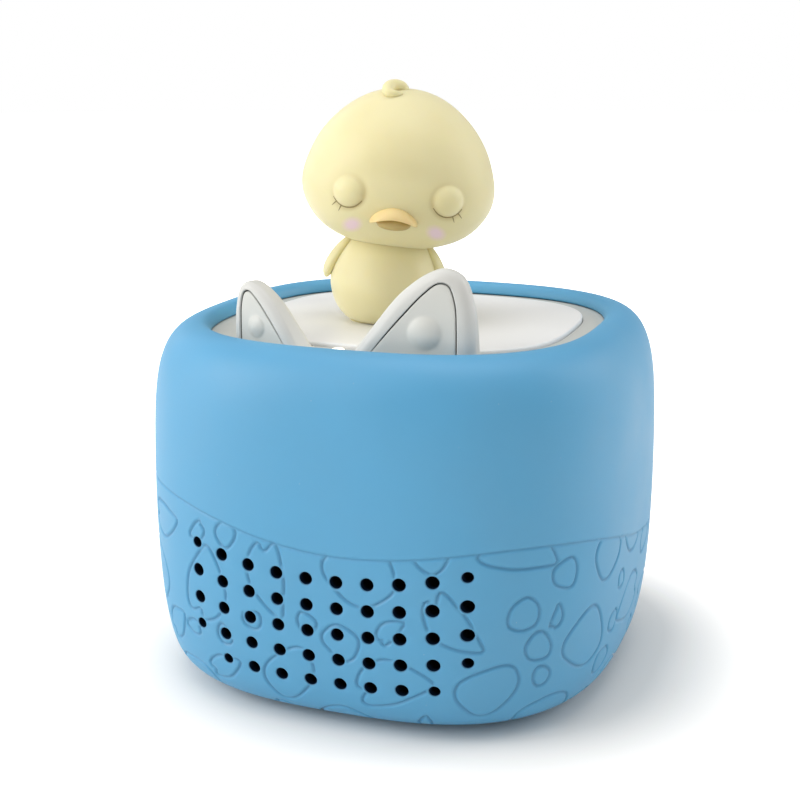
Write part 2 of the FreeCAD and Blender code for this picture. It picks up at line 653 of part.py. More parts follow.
# ---- speaker --------------------------------------------------------------------------------
def make_cloth():
    """Black acoustic cloth glued inside the chassis wall, behind the holes."""
    inset = HOUSING_INSET + HOUSING_WALL
    near = pillow(body_profile(inset + 0.1, FLOOR_Z, DECK_UNDER))
    far = pillow(body_profile(inset + 0.1 + CLOTH_THICKNESS, FLOOR_Z, DECK_UNDER))
    return near.cut(far).common(chamber(-0.2, -BODY_HALF - 5, BAFFLE_Y))


def make_baffle():
    """Plate that closes the speaker chamber and carries the speaker."""
    back = BAFFLE_Y + BAFFLE_THICKNESS
    inset = HOUSING_INSET + HOUSING_WALL + BAFFLE_FIT
    plate = chamber(CHAMBER_WALL, BAFFLE_Y, back).common(
        pillow(body_profile(inset, FLOOR_Z, DECK_UNDER)))
    plate = plate.cut(rod_y(SPEAKER_OPENING, BAFFLE_Y - 1, back + 1, 0, SPEAKER_Z))
    for x, z in speaker_screw_places():
        plate = plate.cut(rod_y(0.8, BAFFLE_Y - 1, back + 1, x, z))
    return plate


def speaker_screw_places():
    spread = (SPEAKER_RADIUS + 1.6) / math.sqrt(2)
    return [(sx * spread, SPEAKER_Z + sz * spread) for sx, sz in CORNERS]


def ring_y(outer, inner, y0, y1):
    return rod_y(outer, y0, y1, 0, SPEAKER_Z).cut(rod_y(inner, y0 - 1, y1 + 1, 0, SPEAKER_Z))


def make_gasket():
    back = BAFFLE_Y + BAFFLE_THICKNESS
    return ring_y(SPEAKER_RADIUS, SPEAKER_OPENING, back, back + GASKET_THICKNESS)


def flange_y():
    return BAFFLE_Y + BAFFLE_THICKNESS + GASKET_THICKNESS


def cone_profile(points):
    """A turned speaker part from (radius, distance behind the flange) points."""
    vectors = [Vector(r, flange_y() + y, SPEAKER_Z) for r, y in points]
    face = Part.Face(Part.makePolygon(vectors + [vectors[0]]))
    return face.revolve(Vector(0, 0, SPEAKER_Z), Vector(0, 1, 0), 360)


def make_basket():
    """Pressed steel frame with four windows and its screw lugs."""
    floor = BASKET_DEPTH - 0.8
    frame = cone_profile([(SPEAKER_RADIUS, 0), (SPEAKER_RADIUS, FLANGE_THICKNESS),
                          (15.2, FLANGE_THICKNESS), (9.2, floor), (9.2, BASKET_DEPTH),
                          (0.0001, BASKET_DEPTH), (0.0001, floor), (8.2, floor), (14.6, 0.8),
                          (15.0, 0)])
    frame = frame.cut(rod_y(COIL_RADIUS + 0.3, flange_y() + 6, flange_y() + 9, 0, SPEAKER_Z))
    lugs = [rod_y(2.4, flange_y(), flange_y() + FLANGE_THICKNESS, x, z)
            for x, z in speaker_screw_places()]
    bore = rod_y(15.6, flange_y() - 1, flange_y() + 3, 0, SPEAKER_Z)
    frame = joined(frame, [lug.cut(bore) for lug in lugs])
    for x, z in speaker_screw_places():
        frame = frame.cut(rod_y(1.1, flange_y() - 1, flange_y() + 3, x, z))
    window = block(-3.2, 3.2, flange_y() + 2.4, flange_y() + 6.0, SPEAKER_Z - 20, SPEAKER_Z + 20)
    for angle in (0, 90):
        turned = window.copy()
        turned.rotate(Vector(0, 0, SPEAKER_Z), Vector(0, 1, 0), angle)
        frame = frame.cut(turned)
    return frame


def make_speaker_magnet():
    front = flange_y() + BASKET_DEPTH
    pot = rod_y(11.0, front, front + SPEAKER_MAGNET_DEPTH, 0, SPEAKER_Z)
    slot = ring_y(COIL_RADIUS + 0.5, COIL_RADIUS - COIL_WALL - 0.5, front - 1, front + 4.5)
    return pot.cut(slot)


def make_surround():
    """Half-round rubber roll between the cone and the frame."""
    seat = flange_y() + 0.9
    middle, way = Vector(0, seat, SPEAKER_Z), Vector(0, 1, 0)
    roll = Part.makeTorus(SURROUND_RADIUS, SURROUND_ROLL, middle, way)
    inner = Part.makeTorus(SURROUND_RADIUS, SURROUND_ROLL - 0.3, middle, way)
    return roll.cut(inner).common(rod_y(30, seat - 6, seat, 0, SPEAKER_Z))


def make_cone():
    """Paper cone with its dust cap."""
    end = CONE_START + CONE_DEPTH
    cone = cone_profile([(CONE_RADIUS, CONE_START), (CONE_RADIUS - 0.1, CONE_START + 0.35),
                         (4.0, end), (0.0001, end), (0.0001, end - 0.35), (3.9, end - 0.35)])
    middle = Vector(0, flange_y() + end + 3.95, SPEAKER_Z)
    dome = Part.makeSphere(7.0, middle)
    inner = Part.makeSphere(6.7, middle)
    cap = dome.cut(inner).common(rod_y(4.6, flange_y(), flange_y() + end - 0.3, 0, SPEAKER_Z))
    return joined(cone, [cap])


def make_voice_coil():
    front = flange_y() + CONE_START + CONE_DEPTH
    return ring_y(COIL_RADIUS, COIL_RADIUS - COIL_WALL, front, front + COIL_LENGTH)


def make_speaker_screws():
    screws = []
    seat = flange_y() + FLANGE_THICKNESS
    for x, z in speaker_screw_places():
        shank = rod_y(0.78, BAFFLE_Y + 0.2, seat, x, z)
        head = rod_y(1.8, seat, seat + 1.1, x, z)
        screws.append(joined(shank, [head]))
    return Part.makeCompound(screws)


# ---- boards, battery and ports ----------------------------------------------------------------
def make_main_board():
    board = block(-BOARD_HALF_X, BOARD_HALF_X, BOARD_Y0, BOARD_Y1, BOARD_Z,
                  BOARD_Z + BOARD_THICKNESS)
    for sx in (-1, 1):
        for y in (POST_FRONT_Y, POST_REAR_Y):
            board = board.cut(rod(SCREW_RADIUS + 0.3, BOARD_Z - 1, BOARD_Z + 3, sx * POST_X, y))
    return board


def on_board(x0, x1, y0, y1, height):
    top = BOARD_Z + BOARD_THICKNESS
    return block(x0, x1, y0, y1, top, top + height)


def make_connectors():
    """White wire headers on the main board and on the port board."""
    port_top = PORT_BOARD_Z + PORT_BOARD_THICKNESS
    headers = [on_board(*place, HEADER_HEIGHT) for place in MAIN_HEADERS]
    headers.append(block(*PORT_HEADER, port_top, port_top + PORT_HEADER_HEIGHT))
    return Part.makeCompound(headers)


def make_battery():
    can = Part.makeCylinder(CELL_RADIUS, CELL_LENGTH, Vector(-CELL_LENGTH / 2, CELL_Y, cell_z()),
                            Vector(1, 0, 0))
    tip = Part.makeCylinder(3.0, 1.2, Vector(CELL_LENGTH / 2, CELL_Y, cell_z()), Vector(1, 0, 0))
    return joined(can, [tip])


def cell_z():
    return FLOOR_Z + CELL_SEAT + CELL_RADIUS


def make_cradle():
    """Saddle on the floor of the base plate that the cell lies in."""
    half = CELL_RADIUS + CRADLE_WALL
    saddle = block(-CRADLE_HALF_X, CRADLE_HALF_X, CELL_Y - half, CELL_Y + half, FLOOR_Z,
                   cell_z() - 2)
    bed = Part.makeCylinder(CELL_RADIUS + CELL_FIT, CELL_LENGTH + 15,
                            Vector(-CELL_LENGTH / 2 - 7.5, CELL_Y, cell_z()), Vector(1, 0, 0))
    gap = block(-CRADLE_GAP_HALF_X, CRADLE_GAP_HALF_X, CELL_Y - half - 1, CELL_Y + half + 1,
                FLOOR_Z + CRADLE_FLOOR, cell_z() + 5)
    return saddle.cut(bed).cut(gap)


def make_strap():
    """Band over the cell, with a foot on each side of the cradle."""
    half, way = STRAP_WIDTH / 2, Vector(1, 0, 0)
    outer_radius = CELL_RADIUS + STRAP_THICKNESS + CELL_FIT
    outer = Part.makeCylinder(outer_radius, STRAP_WIDTH, Vector(-half, CELL_Y, cell_z()), way)
    inner = Part.makeCylinder(CELL_RADIUS + CELL_FIT, STRAP_WIDTH + 2,
                              Vector(-half - 1, CELL_Y, cell_z()), way)
    arch = outer.common(block(-half, half, CELL_Y - 20, CELL_Y + 20, cell_z(), cell_z() + 20))
    middle = CELL_RADIUS + CELL_FIT + STRAP_THICKNESS / 2
    legs = [block(-half, half, CELL_Y + s * middle - STRAP_THICKNESS / 2,
                  CELL_Y + s * middle + STRAP_THICKNESS / 2,
                  FLOOR_Z + CRADLE_FLOOR, cell_z()) for s in (-1, 1)]
    return joined(arch, legs).cut(inner)


def make_port_board():
    """Small board on the rails, whose rear edge stays clear of the pressed button."""
    rear = PORT_FACE_Y - PORT_WALL - POWER_TRAVEL - PORT_BOARD_GAP
    board = block(-PORT_BOARD_HALF_X, PORT_BOARD_HALF_X, PORT_BOARD_Y0, rear, PORT_BOARD_Z,
                  PORT_BOARD_Z + PORT_BOARD_THICKNESS)
    for sx in (-1, 1):
        board = board.cut(rod(SCREW_RADIUS + 0.3, PORT_BOARD_Z - 1, PORT_BOARD_Z + 3,
                              sx * PORT_SCREW_X, PORT_SCREW_Y))
    return board


def port_axis_z():
    return PORT_BOARD_Z + PORT_BOARD_THICKNESS + PORT_AXIS_RISE


def make_jack():
    """3.5 mm headphone socket: a moulded block with its barrel through the panel."""
    front = PORT_FACE_Y - PORT_WALL - 0.2
    body = block(JACK_X - 3.0, JACK_X + 3.0, PORT_FACE_Y - JACK_LENGTH, front,
                 PORT_BOARD_Z + PORT_BOARD_THICKNESS, port_axis_z() + 2.9)
    barrel = rod_y(2.9, front - 1, PORT_FACE_Y, JACK_X, port_axis_z())
    bore = rod_y(JACK_BORE, PORT_FACE_Y - JACK_LENGTH - 1, PORT_FACE_Y + 1, JACK_X, port_axis_z())
    return joined(body, [barrel]).cut(bore)


def make_charge_socket():
    """Flat-oval charging socket: a steel shell with its contact tongue."""
    z0 = PORT_BOARD_Z + PORT_BOARD_THICKNESS
    y1 = PORT_FACE_Y
    y0 = y1 - SOCKET_LENGTH

    def oval(shrink, ya, yb):
        half_z = SOCKET_HEIGHT / 2 - shrink
        half_x = SOCKET_WIDTH / 2 - shrink
        shape = stadium(half_x, half_z, z0 + SOCKET_HEIGHT / 2, ya, yb)
        shape.translate(Vector(SOCKET_X, 0, 0))
        return shape

    shell = oval(0, y0, y1).cut(oval(0.3, y0 + 1.0, y1 + 1))
    tongue = block(SOCKET_X - 3.3, SOCKET_X + 3.3, y0 + 0.5, y1 - 1.2,
                   z0 + SOCKET_HEIGHT / 2 - 0.35, z0 + SOCKET_HEIGHT / 2 + 0.35)
    return joined(shell, [tongue])


def button_back():
    return PORT_FACE_Y - PORT_WALL - 0.1 - POWER_FLANGE


def make_power_button():
    """Round cap through the panel, with a flange behind it that keeps it in."""
    cap = rod_y(POWER_RADIUS, button_back(), PORT_FACE_Y + POWER_PROUD, POWER_X, port_axis_z())
    rim = [e for e in cap.Edges if e.BoundBox.YMin > PORT_FACE_Y + POWER_PROUD - 0.01]
    cap = cap.makeFillet(0.5, rim[:1])
    flange = rod_y(POWER_RADIUS + 0.9, button_back(), button_back() + POWER_FLANGE, POWER_X,
                   port_axis_z())
    over_board = block(POWER_X - 2 * POWER_RADIUS, POWER_X + 2 * POWER_RADIUS, 0,
                       button_back() + POWER_FLANGE, 0,
                       PORT_BOARD_Z + PORT_BOARD_THICKNESS + 0.2)
    return joined(cap, [flange]).cut(over_board)


def make_power_plunger():
    return rod_y(1.4, button_back() - PLUNGER_LENGTH, button_back(), POWER_X, port_axis_z())


def make_power_switch():
    front = button_back() - 3
    body = block(POWER_X - 3.1, POWER_X + 3.1, front - 4, front,
                 PORT_BOARD_Z + PORT_BOARD_THICKNESS, port_axis_z() + 3)
    return body.cut(rod_y(1.6, front - 2, front + 1, POWER_X, port_axis_z()))


# ---- figure ---------------------------------------------------------------------------------
def figure_place(shape):
    """From the figure's own frame (it looks to -Y, base at the origin) to the stand plate."""
    moved = shape.copy()
    moved.Placement = Placement(Vector(SPOT[0], SPOT[1], PLATE_TOP),
                                Rotation(Vector(0, 0, 1), FIGURE_TURN)).multiply(moved.Placement)
    return moved


def in_head(shape):
    """From the head's own frame, with its centre at the origin, to the figure's frame."""
    moved = shape.copy()
    moved.rotate(Vector(0, 0, 0), Vector(0, 1, 0), HEAD_LEAN)
    moved.translate(Vector(HEAD_SIDE, HEAD_BACK, HEAD_UP))
    return moved


def shrunk(profile, by):
    """The same round form with its wall taken off on the inside."""
    low, high = profile[0][1], profile[-1][1]
    mid = (low + high) / 2
    scale = 1 - 2 * by / (high - low)
    return [(max(w - by, 0.8), mid + (z - mid) * scale) for w, z in profile]


def make_figure_head():
    head = pillow(HEAD_PROFILE, 2, HEAD_DEPTH)
    hollow = pillow(shrunk(HEAD_PROFILE, FIG_WALL), 2, HEAD_DEPTH)
    tuft = pillow(TUFT_PROFILE, 2)
    tuft.translate(Vector(0, 0, HEAD_PROFILE[-1][1]))
    return in_head(joined(head, [tuft]).cut(hollow))


def make_figure_body():
    """Round little body, closed at the neck, with a cup in its base."""
    def form(profile):
        shape = pillow(profile, 2)
        shape.rotate(Vector(0, 0, 0), Vector(0, 1, 0), BODY_LEAN)
        return shape.common(slab(0, HEAD_UP))

    hollow = form([(w - FIG_WALL, z) for w, z in BODY_PROFILE])
    hollow = hollow.common(slab(CUP_DEPTH + FIG_WALL, HEAD_UP - 24.0))
    body = form(BODY_PROFILE).cut(in_head(pillow(HEAD_PROFILE, 2, HEAD_DEPTH)))
    return body.cut(hollow).cut(rod(CUP_RADIUS, -1, CUP_DEPTH))


def make_beak():
    beak = pillow(BEAK_PROFILE, 2, 0.8)
    beak.translate(Vector(0, -BEAK_OUT, BEAK_UP))
    return in_head(beak.cut(pillow(HEAD_PROFILE, 2, HEAD_DEPTH)))


def make_wing(side):
    wing = pillow(WING_PROFILE, 2, WING_THICKNESS)
    wing.rotate(Vector(0, 0, 0), Vector(0, 0, 1), 90)
    wing.rotate(Vector(0, 0, 0), Vector(0, 1, 0), -side * 20 + BODY_LEAN)
    wing.translate(Vector(side * WING_SIDE + 1.7, 1.0, WING_UP))
    body = pillow(BODY_PROFILE, 2)
    body.rotate(Vector(0, 0, 0), Vector(0, 1, 0), BODY_LEAN)
    return wing.cut(body).cut(in_head(pillow(HEAD_PROFILE, 2, HEAD_DEPTH)))


def make_figure():
    """The chick: hollow mouldings glued together, over the tag and magnet in its base."""
    tag_top = BASE_CAP + TAG_THICKNESS
    save("figure_body", figure_place(make_figure_body()))
    save("figure_head", figure_place(make_figure_head()))
    save("figure_beak", figure_place(make_beak()))
    save("figure_wing_left", figure_place(make_wing(-1)))
    save("figure_wing_right", figure_place(make_wing(1)))
    save("figure_base_cap", figure_place(rod(CUP_RADIUS, 0, BASE_CAP)))
    save("figure_tag", figure_place(rod(CUP_RADIUS - 0.3, BASE_CAP, tag_top)))
    save("figure_magnet", figure_place(rod(FIGURE_MAGNET_RADIUS, tag_top, CUP_DEPTH)))


# ---- build all -------------------------------------------------------------------------------
def make_ear(ear):
    name = ear["name"]
    save(name + "_shell", placed(make_ear_shell(ear), ear))
    save(name + "_key", placed(make_key(ear), ear))
    save(name + "_plunger", placed(make_plunger(ear), ear))
    save(name + "_switch", placed(make_switch(ear), ear))
    save(name + "_board", placed(make_ear_board(ear), ear))


def make_top_pieces():
    """Plate, indicator, aerial and the magnet that holds the figure."""
    save("stand_plate", make_plate())
    lamp_top = DECK_UNDER - LAMP_FLANGE
    lamp_board_top = DECK_UNDER - LAMP_BOARD_DROP
    lens = joined(rod(LAMP_RADIUS, lamp_top, DECK_Z + 0.2, LAMP_X, LAMP_Y),
                  [rod(LAMP_RADIUS + 0.7, lamp_top, DECK_UNDER, LAMP_X, LAMP_Y)])
    save("indicator_lens", lens)
    save("indicator_led", block(LAMP_X - 1.4, LAMP_X + 1.4, LAMP_Y - 1.4, LAMP_Y + 1.4,
                                lamp_board_top, lamp_top))
    save("indicator_board", block(LAMP_X - 3.5, LAMP_X + 3.5, LAMP_Y - 6.5, LAMP_Y + 6.5,
                                  lamp_board_top - 1.0, lamp_board_top))
    aerial_under = DECK_UNDER - AERIAL_THICKNESS
    aerial = rod(AERIAL_RADIUS, aerial_under, DECK_UNDER, *SPOT)
    save("aerial_board", aerial.cut(rod(AERIAL_BORE, aerial_under - 1, DECK_UNDER + 1, *SPOT)))
    turns = []
    for radius in COIL_RADII:
        turn = rod(radius + 0.3, aerial_under - 0.3, aerial_under, *SPOT)
        turns.append(turn.cut(rod(radius - 0.3, aerial_under - 1, DECK_UNDER, *SPOT)))
    save("aerial_coil", Part.makeCompound(turns))
    save("stand_magnet", rod(STAND_MAGNET_RADIUS, DECK_UNDER - STAND_MAGNET_HEIGHT, DECK_UNDER,
                             *SPOT))


def make_fasteners():
    head_seat = BASE_SPLIT - HOUSING_WALL
    base = [screw(sx * BOSS_SPREAD, sy * BOSS_SPREAD, head_seat, 10.0) for sx, sy in CORNERS]
    save("base_screws", Part.makeCompound(base))
    bezel = [screw(sx * TAB_X, y, TAB_LOW, TAB_THICKNESS + 5.5)
             for sx in (-1, 1) for y in TAB_YS]
    save("bezel_screws", Part.makeCompound(bezel))
    board_top = BOARD_Z + BOARD_THICKNESS
    board = [screw(sx * POST_X, y, board_top, 8.0, up=False)
             for sx in (-1, 1) for y in (POST_FRONT_Y, POST_REAR_Y)]
    port_top = PORT_BOARD_Z + PORT_BOARD_THICKNESS
    board += [screw(sx * PORT_SCREW_X, PORT_SCREW_Y, port_top, 3.8, up=False)
              for sx in (-1, 1)]
    save("board_screws", Part.makeCompound(board))


def ear_point(ear, y, z):
    """A point on the middle line of an ear's board, in the player's frame."""
    turn = Rotation(Vector(0, 0, 1), ear["turn"])
    point = turn.multVec(Vector(key_spot(ear)[0], y, 0))
    return (ear["x"] + point.x, ear["y"] + point.y, DECK_Z + z)


def ear_lead(ear, end_x):
    """From the foot of an ear's board to the middle header of the main board."""
    x, y, z = ear_point(ear, board_face(ear) + EAR_BOARD_THICKNESS / 2, -TENON_DROP)
    top = BOARD_Z + BOARD_THICKNESS + HEADER_HEIGHT
    return lead([(x, y, z), (x, y, z - 6), (0.75 * x, y + 4, z - 14),
                 (0.3 * x + end_x, y + 13.5, z - 16.5), (end_x, -17.2, top + 6),
                 (end_x, -16.5, top)], EAR_LEAD_RADIUS)


def make_leads():
    top = BOARD_Z + BOARD_THICKNESS + HEADER_HEIGHT
    rim = flange_y() + 1.5
    save("speaker_lead", lead([(8, rim, 42.3), (9, rim + 6, 45), (13, -27, 55), (17, -21, 65),
                               (18, -16.5, 66), (18, -16.5, top)], 0.8))
    end = -CELL_LENGTH / 2 - 0.6
    save("battery_lead", lead([(end, CELL_Y, cell_z()), (end - 5, 14, 19.5), (-41, 11, 32),
                               (-40, 7, 48), (-37, 6, 60), (-33, 6, 66.5), (-28, 6, 67),
                               (-28, 6, top)], 0.8))
    save("aerial_lead", lead([(-20, -12, DECK_UNDER - 1.0), (-20, -12, 77), (-20, -14.8, 70),
                              (-20, -16.3, 65), (-20, -16.5, top)], 0.7))
    port_top = PORT_BOARD_Z + PORT_BOARD_THICKNESS + 3.0
    save("port_lead", lead([(-3, 39, port_top), (-3, 39.2, 34), (-2.5, 40.5, 47), (-2, 39.5, 60),
                            (-1.3, 35, 67.5), (-1, 30, 67), (-1, 30, top)], 0.9))
    lamp_z = DECK_UNDER - 4.0
    lamp = lead([(LAMP_X, LAMP_Y + 3.5, lamp_z), (LAMP_X, LAMP_Y + 3.5, lamp_z - 5.5),
                 (-2.5, -28, 68.5), (-0.5, -20.5, 66.5), (0, -17, 64), (0, -16.5, top)],
                EAR_LEAD_RADIUS)
    save("deck_leads", Part.makeCompound([ear_lead(SMALL_EAR, -3.0), lamp,
                                          ear_lead(LARGE_EAR, 3.0)]))


def main():
    core, hollow = make_core(), make_hollow()
    save("outer_sleeve", make_sleeve())
    save("base_plate", make_base(core, hollow))
    save("chassis", make_chassis(core, hollow))
    save("top_bezel", make_bezel(core, hollow))
    make_top_pieces()
    make_ear(SMALL_EAR)
    make_ear(LARGE_EAR)
    save("grille_cloth", make_cloth())
    save("speaker_baffle", make_baffle())
    save("speaker_gasket", make_gasket())
    save("speaker_basket", make_basket())
    save("speaker_magnet", make_speaker_magnet())
    save("speaker_surround", make_surround())
    save("speaker_cone", make_cone())
    save("voice_coil", make_voice_coil())
    save("speaker_screws", make_speaker_screws())
    save("main_board", make_main_board())
    save("board_chips", Part.makeCompound([on_board(*PROCESSOR, PROCESSOR_HEIGHT),
                                           on_board(*MEMORY, MEMORY_HEIGHT)]))
    save("radio_module", on_board(*RADIO, RADIO_HEIGHT))
    save("board_headers", make_connectors())
    save("battery_cell", make_battery())
    save("battery_cradle", make_cradle())
    save("battery_strap", make_strap())
    save("port_board", make_port_board())
    save("headphone_jack", make_jack())
    save("charge_socket", make_charge_socket())
    save("power_button", make_power_button())
    save("power_plunger", make_power_plunger())
    save("power_switch", make_power_switch())
    feet = [rod(FOOT_RADIUS, 0, HOUSING_BOTTOM, sx * FOOT_SPREAD, sy * FOOT_SPREAD)
            for sx, sy in CORNERS]
    save("feet", Part.makeCompound(feet))
    make_fasteners()
    make_leads()
    make_figure()


main()
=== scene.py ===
import math
import random

import bmesh
import bpy
import numpy as np
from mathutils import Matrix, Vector
from mathutils.geometry import delaunay_2d_cdt
from mathutils.bvhtree import BVHTree
from mathutils.kdtree import KDTree


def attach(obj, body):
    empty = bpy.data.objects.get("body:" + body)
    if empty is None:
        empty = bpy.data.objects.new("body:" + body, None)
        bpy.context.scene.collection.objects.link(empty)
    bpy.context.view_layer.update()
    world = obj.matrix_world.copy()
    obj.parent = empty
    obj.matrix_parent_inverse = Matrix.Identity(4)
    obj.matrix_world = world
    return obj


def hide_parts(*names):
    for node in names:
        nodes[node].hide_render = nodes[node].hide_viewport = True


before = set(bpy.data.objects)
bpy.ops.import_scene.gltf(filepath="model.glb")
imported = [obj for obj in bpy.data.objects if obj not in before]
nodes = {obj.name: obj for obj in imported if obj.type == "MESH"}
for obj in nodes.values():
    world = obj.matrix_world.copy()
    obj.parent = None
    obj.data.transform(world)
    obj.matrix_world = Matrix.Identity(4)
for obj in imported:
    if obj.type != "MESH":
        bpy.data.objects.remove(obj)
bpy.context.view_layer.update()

# ---- Outer sleeve -------------------------------------------------------------------------
# The soft blue outer skin is one moulding of silicone rubber, pulled over the hard housing. The
# mould leaves the lip, the grille holes, the port window and the shallow engraved lines. Its
# surface is meshed flat, round its holes and along its lines, and then wrapped.
MM = 0.001
WIDEST = 60.7                       # half width, where the sides belly out
SIDE_LINE = [(41.9, 0.8), (54.4, 0.8), (59.1, 9.6), (WIDEST, 33.0), (WIDEST, 63.0), (58.9, 89.4),
             (49.3, 89.4)]          # half width, height
SLEEVE_POWER = 2.78                 # of the square-round plan
SLEEVE_WALL = 2.6
DECK_Z = 86.2
SLEEVE_FIT = 0.25
LIP_HALF, LIP_ROUND = 47.0, (2.3, 2.9)
UNDER_HALF, UNDER_ROUND = 40.0, 0.6


def spline(points, count):
    """Points along a clamped cubic B-spline with even knots."""
    points = np.array(points, float)
    knots = np.concatenate([[0] * 3, np.linspace(0, 1, len(points) - 2), [1] * 3])
    out = []
    for t in np.linspace(0, 1 - 1e-9, count):
        k = int(np.searchsorted(knots, t, side="right")) - 1
        near = [points[j + k - 3] for j in range(4)]
        for r in range(1, 4):
            for j in range(3, r - 1, -1):
                low = knots[j + k - 3]
                part = (t - low) / (knots[j + 1 + k - r] - low)
                near[j] = (1 - part) * near[j - 1] + part * near[j]
        out.append(near[3])
    return np.array(out)


def arc(centre, radius, start, end, count=9):
    """Points of an arc, its ends in degrees. Two radii, across and up, make it an oval one."""
    turn = np.radians(np.linspace(start, end, count))
    return np.stack([np.cos(turn), np.sin(turn)], 1) * radius + centre


def run_of(points):
    """Distance along a line to each of its points."""
    return np.concatenate([[0], np.cumsum(np.hypot(*np.diff(points, axis=0).T))])


def resampled(points, count):
    """The same line with a count of even points."""
    run = run_of(points)
    marks = np.linspace(0, run[-1], count)
    return np.stack([np.interp(marks, run, column) for column in points.T], 1)


def evenly(points, step):
    """The same line with points every step."""
    return resampled(points, max(2, int(round(run_of(points)[-1] / step)) + 1))


class Wall:
    """A line of (half width, height) carried round a square-round plan.

    A place on it is (s, t): s goes round from the right side over the back, t along the line."""
    turn = np.radians(np.linspace(-270, 90, 2881))
    plan = np.stack([np.sin(turn), -np.cos(turn)], 1)
    plan /= ((np.abs(plan) ** SLEEVE_POWER).sum(1) ** (1 / SLEEVE_POWER))[:, None]
    plan_run = run_of(plan) * WIDEST
    around = plan_run[-1]

    def __init__(self, line):
        self.line = evenly(np.array(line), 0.1)
        self.run = run_of(self.line)
        self.length = self.run[-1]
        self.way = np.gradient(self.line, self.run, axis=0)
        wide, high = self.line.T
        side = (np.abs(self.way[:, 1]) > 0.3) & (np.abs(high - 43) < 38) & (wide > 50)
        order = np.argsort(high[side])
        self.side = [values[side][order] for values in (high, self.run, wide)]

    def at(self, places, depth=0.0):
        """Points of the wall in millimetres, sunk by depth under its surface."""
        places = np.asarray(places).reshape(-1, 2)
        s, t = places[:, 0] % self.around, places[:, 1]
        unit = np.stack([np.interp(s, self.plan_run, column) for column in self.plan.T], 1)
        wide, high = (np.interp(t, self.run, column) for column in self.line.T)
        widen, rise = (np.interp(t, self.run, column) for column in self.way.T)
        out = np.sign(unit) * np.abs(unit) ** (SLEEVE_POWER - 1)
        normal = np.stack([out[:, 0] * rise, out[:, 1] * rise, -widen], 1)
        normal /= np.linalg.norm(normal, axis=1)[:, None]
        point = np.stack([unit[:, 0] * wide, unit[:, 1] * wide, high], 1)
        return point - normal * np.broadcast_to(depth, len(point))[:, None]

    def place(self, x, z, side):
        """The (s, t) that lies at x, z on the front, side -1, or on the back, side 1."""
        heights, runs, widths = self.side
        t, wide = np.interp(z, heights, runs), np.interp(z, heights, widths)
        across = np.clip(x / wide, -1, 1)
        y = side * (1 - np.abs(across) ** SLEEVE_POWER) ** (1 / SLEEVE_POWER)
        turn = np.arctan2(across, -y)
        s = np.interp(np.where(turn > np.pi / 2, turn - 2 * np.pi, turn), self.turn, self.plan_run)
        return np.stack([s, t], 1)


def moved_in(wall):
    """The side's control points on the inside of the sleeve's wall."""
    low = [(w - wall, z + wall) for w, z in SIDE_LINE[:3]]
    middle = [(w - wall, z) for w, z in SIDE_LINE[3:5]]
    return low + middle + [(w - wall, DECK_Z + SLEEVE_FIT) for w, _ in SIDE_LINE[5:]]


low_z, high_z = SIDE_LINE[0][1], SIDE_LINE[-1][1]
skin = Wall(np.concatenate([
    [(UNDER_HALF, low_z + 2 * UNDER_ROUND)],
    arc((UNDER_HALF + UNDER_ROUND, low_z + UNDER_ROUND), UNDER_ROUND, 180, 270),
    spline(SIDE_LINE, 700),
    arc((LIP_HALF + LIP_ROUND[0], high_z - LIP_ROUND[1]), LIP_ROUND, 90, 180, 17),
    [(LIP_HALF, DECK_Z + SLEEVE_FIT)]]))
inside = spline(moved_in(SLEEVE_WALL), 700)[::-1]
start = int(np.argmax(inside[:, 0] > LIP_HALF + 0.4))
stop = len(inside) - int(np.argmax(inside[::-1, 0] > UNDER_HALF + 0.4))
lining = Wall(np.concatenate([
    [(LIP_HALF, DECK_Z + SLEEVE_FIT)], inside[start:stop],
    [(UNDER_HALF, low_z + SLEEVE_WALL), (UNDER_HALF, low_z + 2 * UNDER_ROUND)]]))

# Grille holes: ten columns and five rows, which rise towards the sides.
HOLE_PITCH = (7.36, 6.37)
HOLE_MID_Z = 25.9
HOLE_RADIUS, CORNER_HOLE_RADIUS = 1.5, 1.25
ROW_BOW, BOW_CHANGE = 0.00232, 0.00048      # how much a row rises, and less in each row above
HOLE_RIM = 0.3                      # rounding of a hole's edge


def hole_places():
    """(x, z, radius) of each hole. The two bottom corners are left out."""
    places = []
    for column in range(10):
        x = (column - 4.5) * HOLE_PITCH[0]
        outer, beside = column in (0, 9), column in (1, 8)
        for row in range(4 if outer else 5):
            bow = ROW_BOW - BOW_CHANGE * (row - 2)
            z = HOLE_MID_Z - (row - 2) * HOLE_PITCH[1] + bow * x * x
            small = outer and row in (0, 3) or beside and row == 4
            places.append((x, z, CORNER_HOLE_RADIUS if small else HOLE_RADIUS))
    return places


PORT_HALF_X, PORT_HALF_Z, PORT_MID_Z = 26.0, 9.0, 26.0
PORT_RIM = 0.7
PORT_SLACK, HOLE_SLACK = 0.035, 0.986       # the chords of a rim cut inside its curve


def cut_edge(cut, grow):
    """x and z round a cut, which is a hole (x, z, radius) or the port window (None)."""
    if cut:
        x, z, radius = cut
        turn = np.linspace(0, 2 * np.pi, 24, endpoint=False) + 0.01
        return x + (radius + grow) * np.cos(turn), z + (radius + grow) * np.sin(turn)
    end, quarter = PORT_HALF_X - PORT_HALF_Z, np.pi / 2
    middle = np.concatenate([np.full(24, end), np.linspace(end, -end, 26)[1:-1],
                             np.full(24, -end), np.linspace(-end, end, 26)[1:-1]])
    turn = np.concatenate([np.linspace(-quarter, quarter, 24), np.full(24, quarter),
                           np.linspace(quarter, 3 * quarter, 24), np.full(24, 3 * quarter)])
    reach = PORT_HALF_Z + grow
    return middle + reach * np.cos(turn), PORT_MID_Z + reach * np.sin(turn)


cuts = hole_places() + [None]
FAR = 99.0


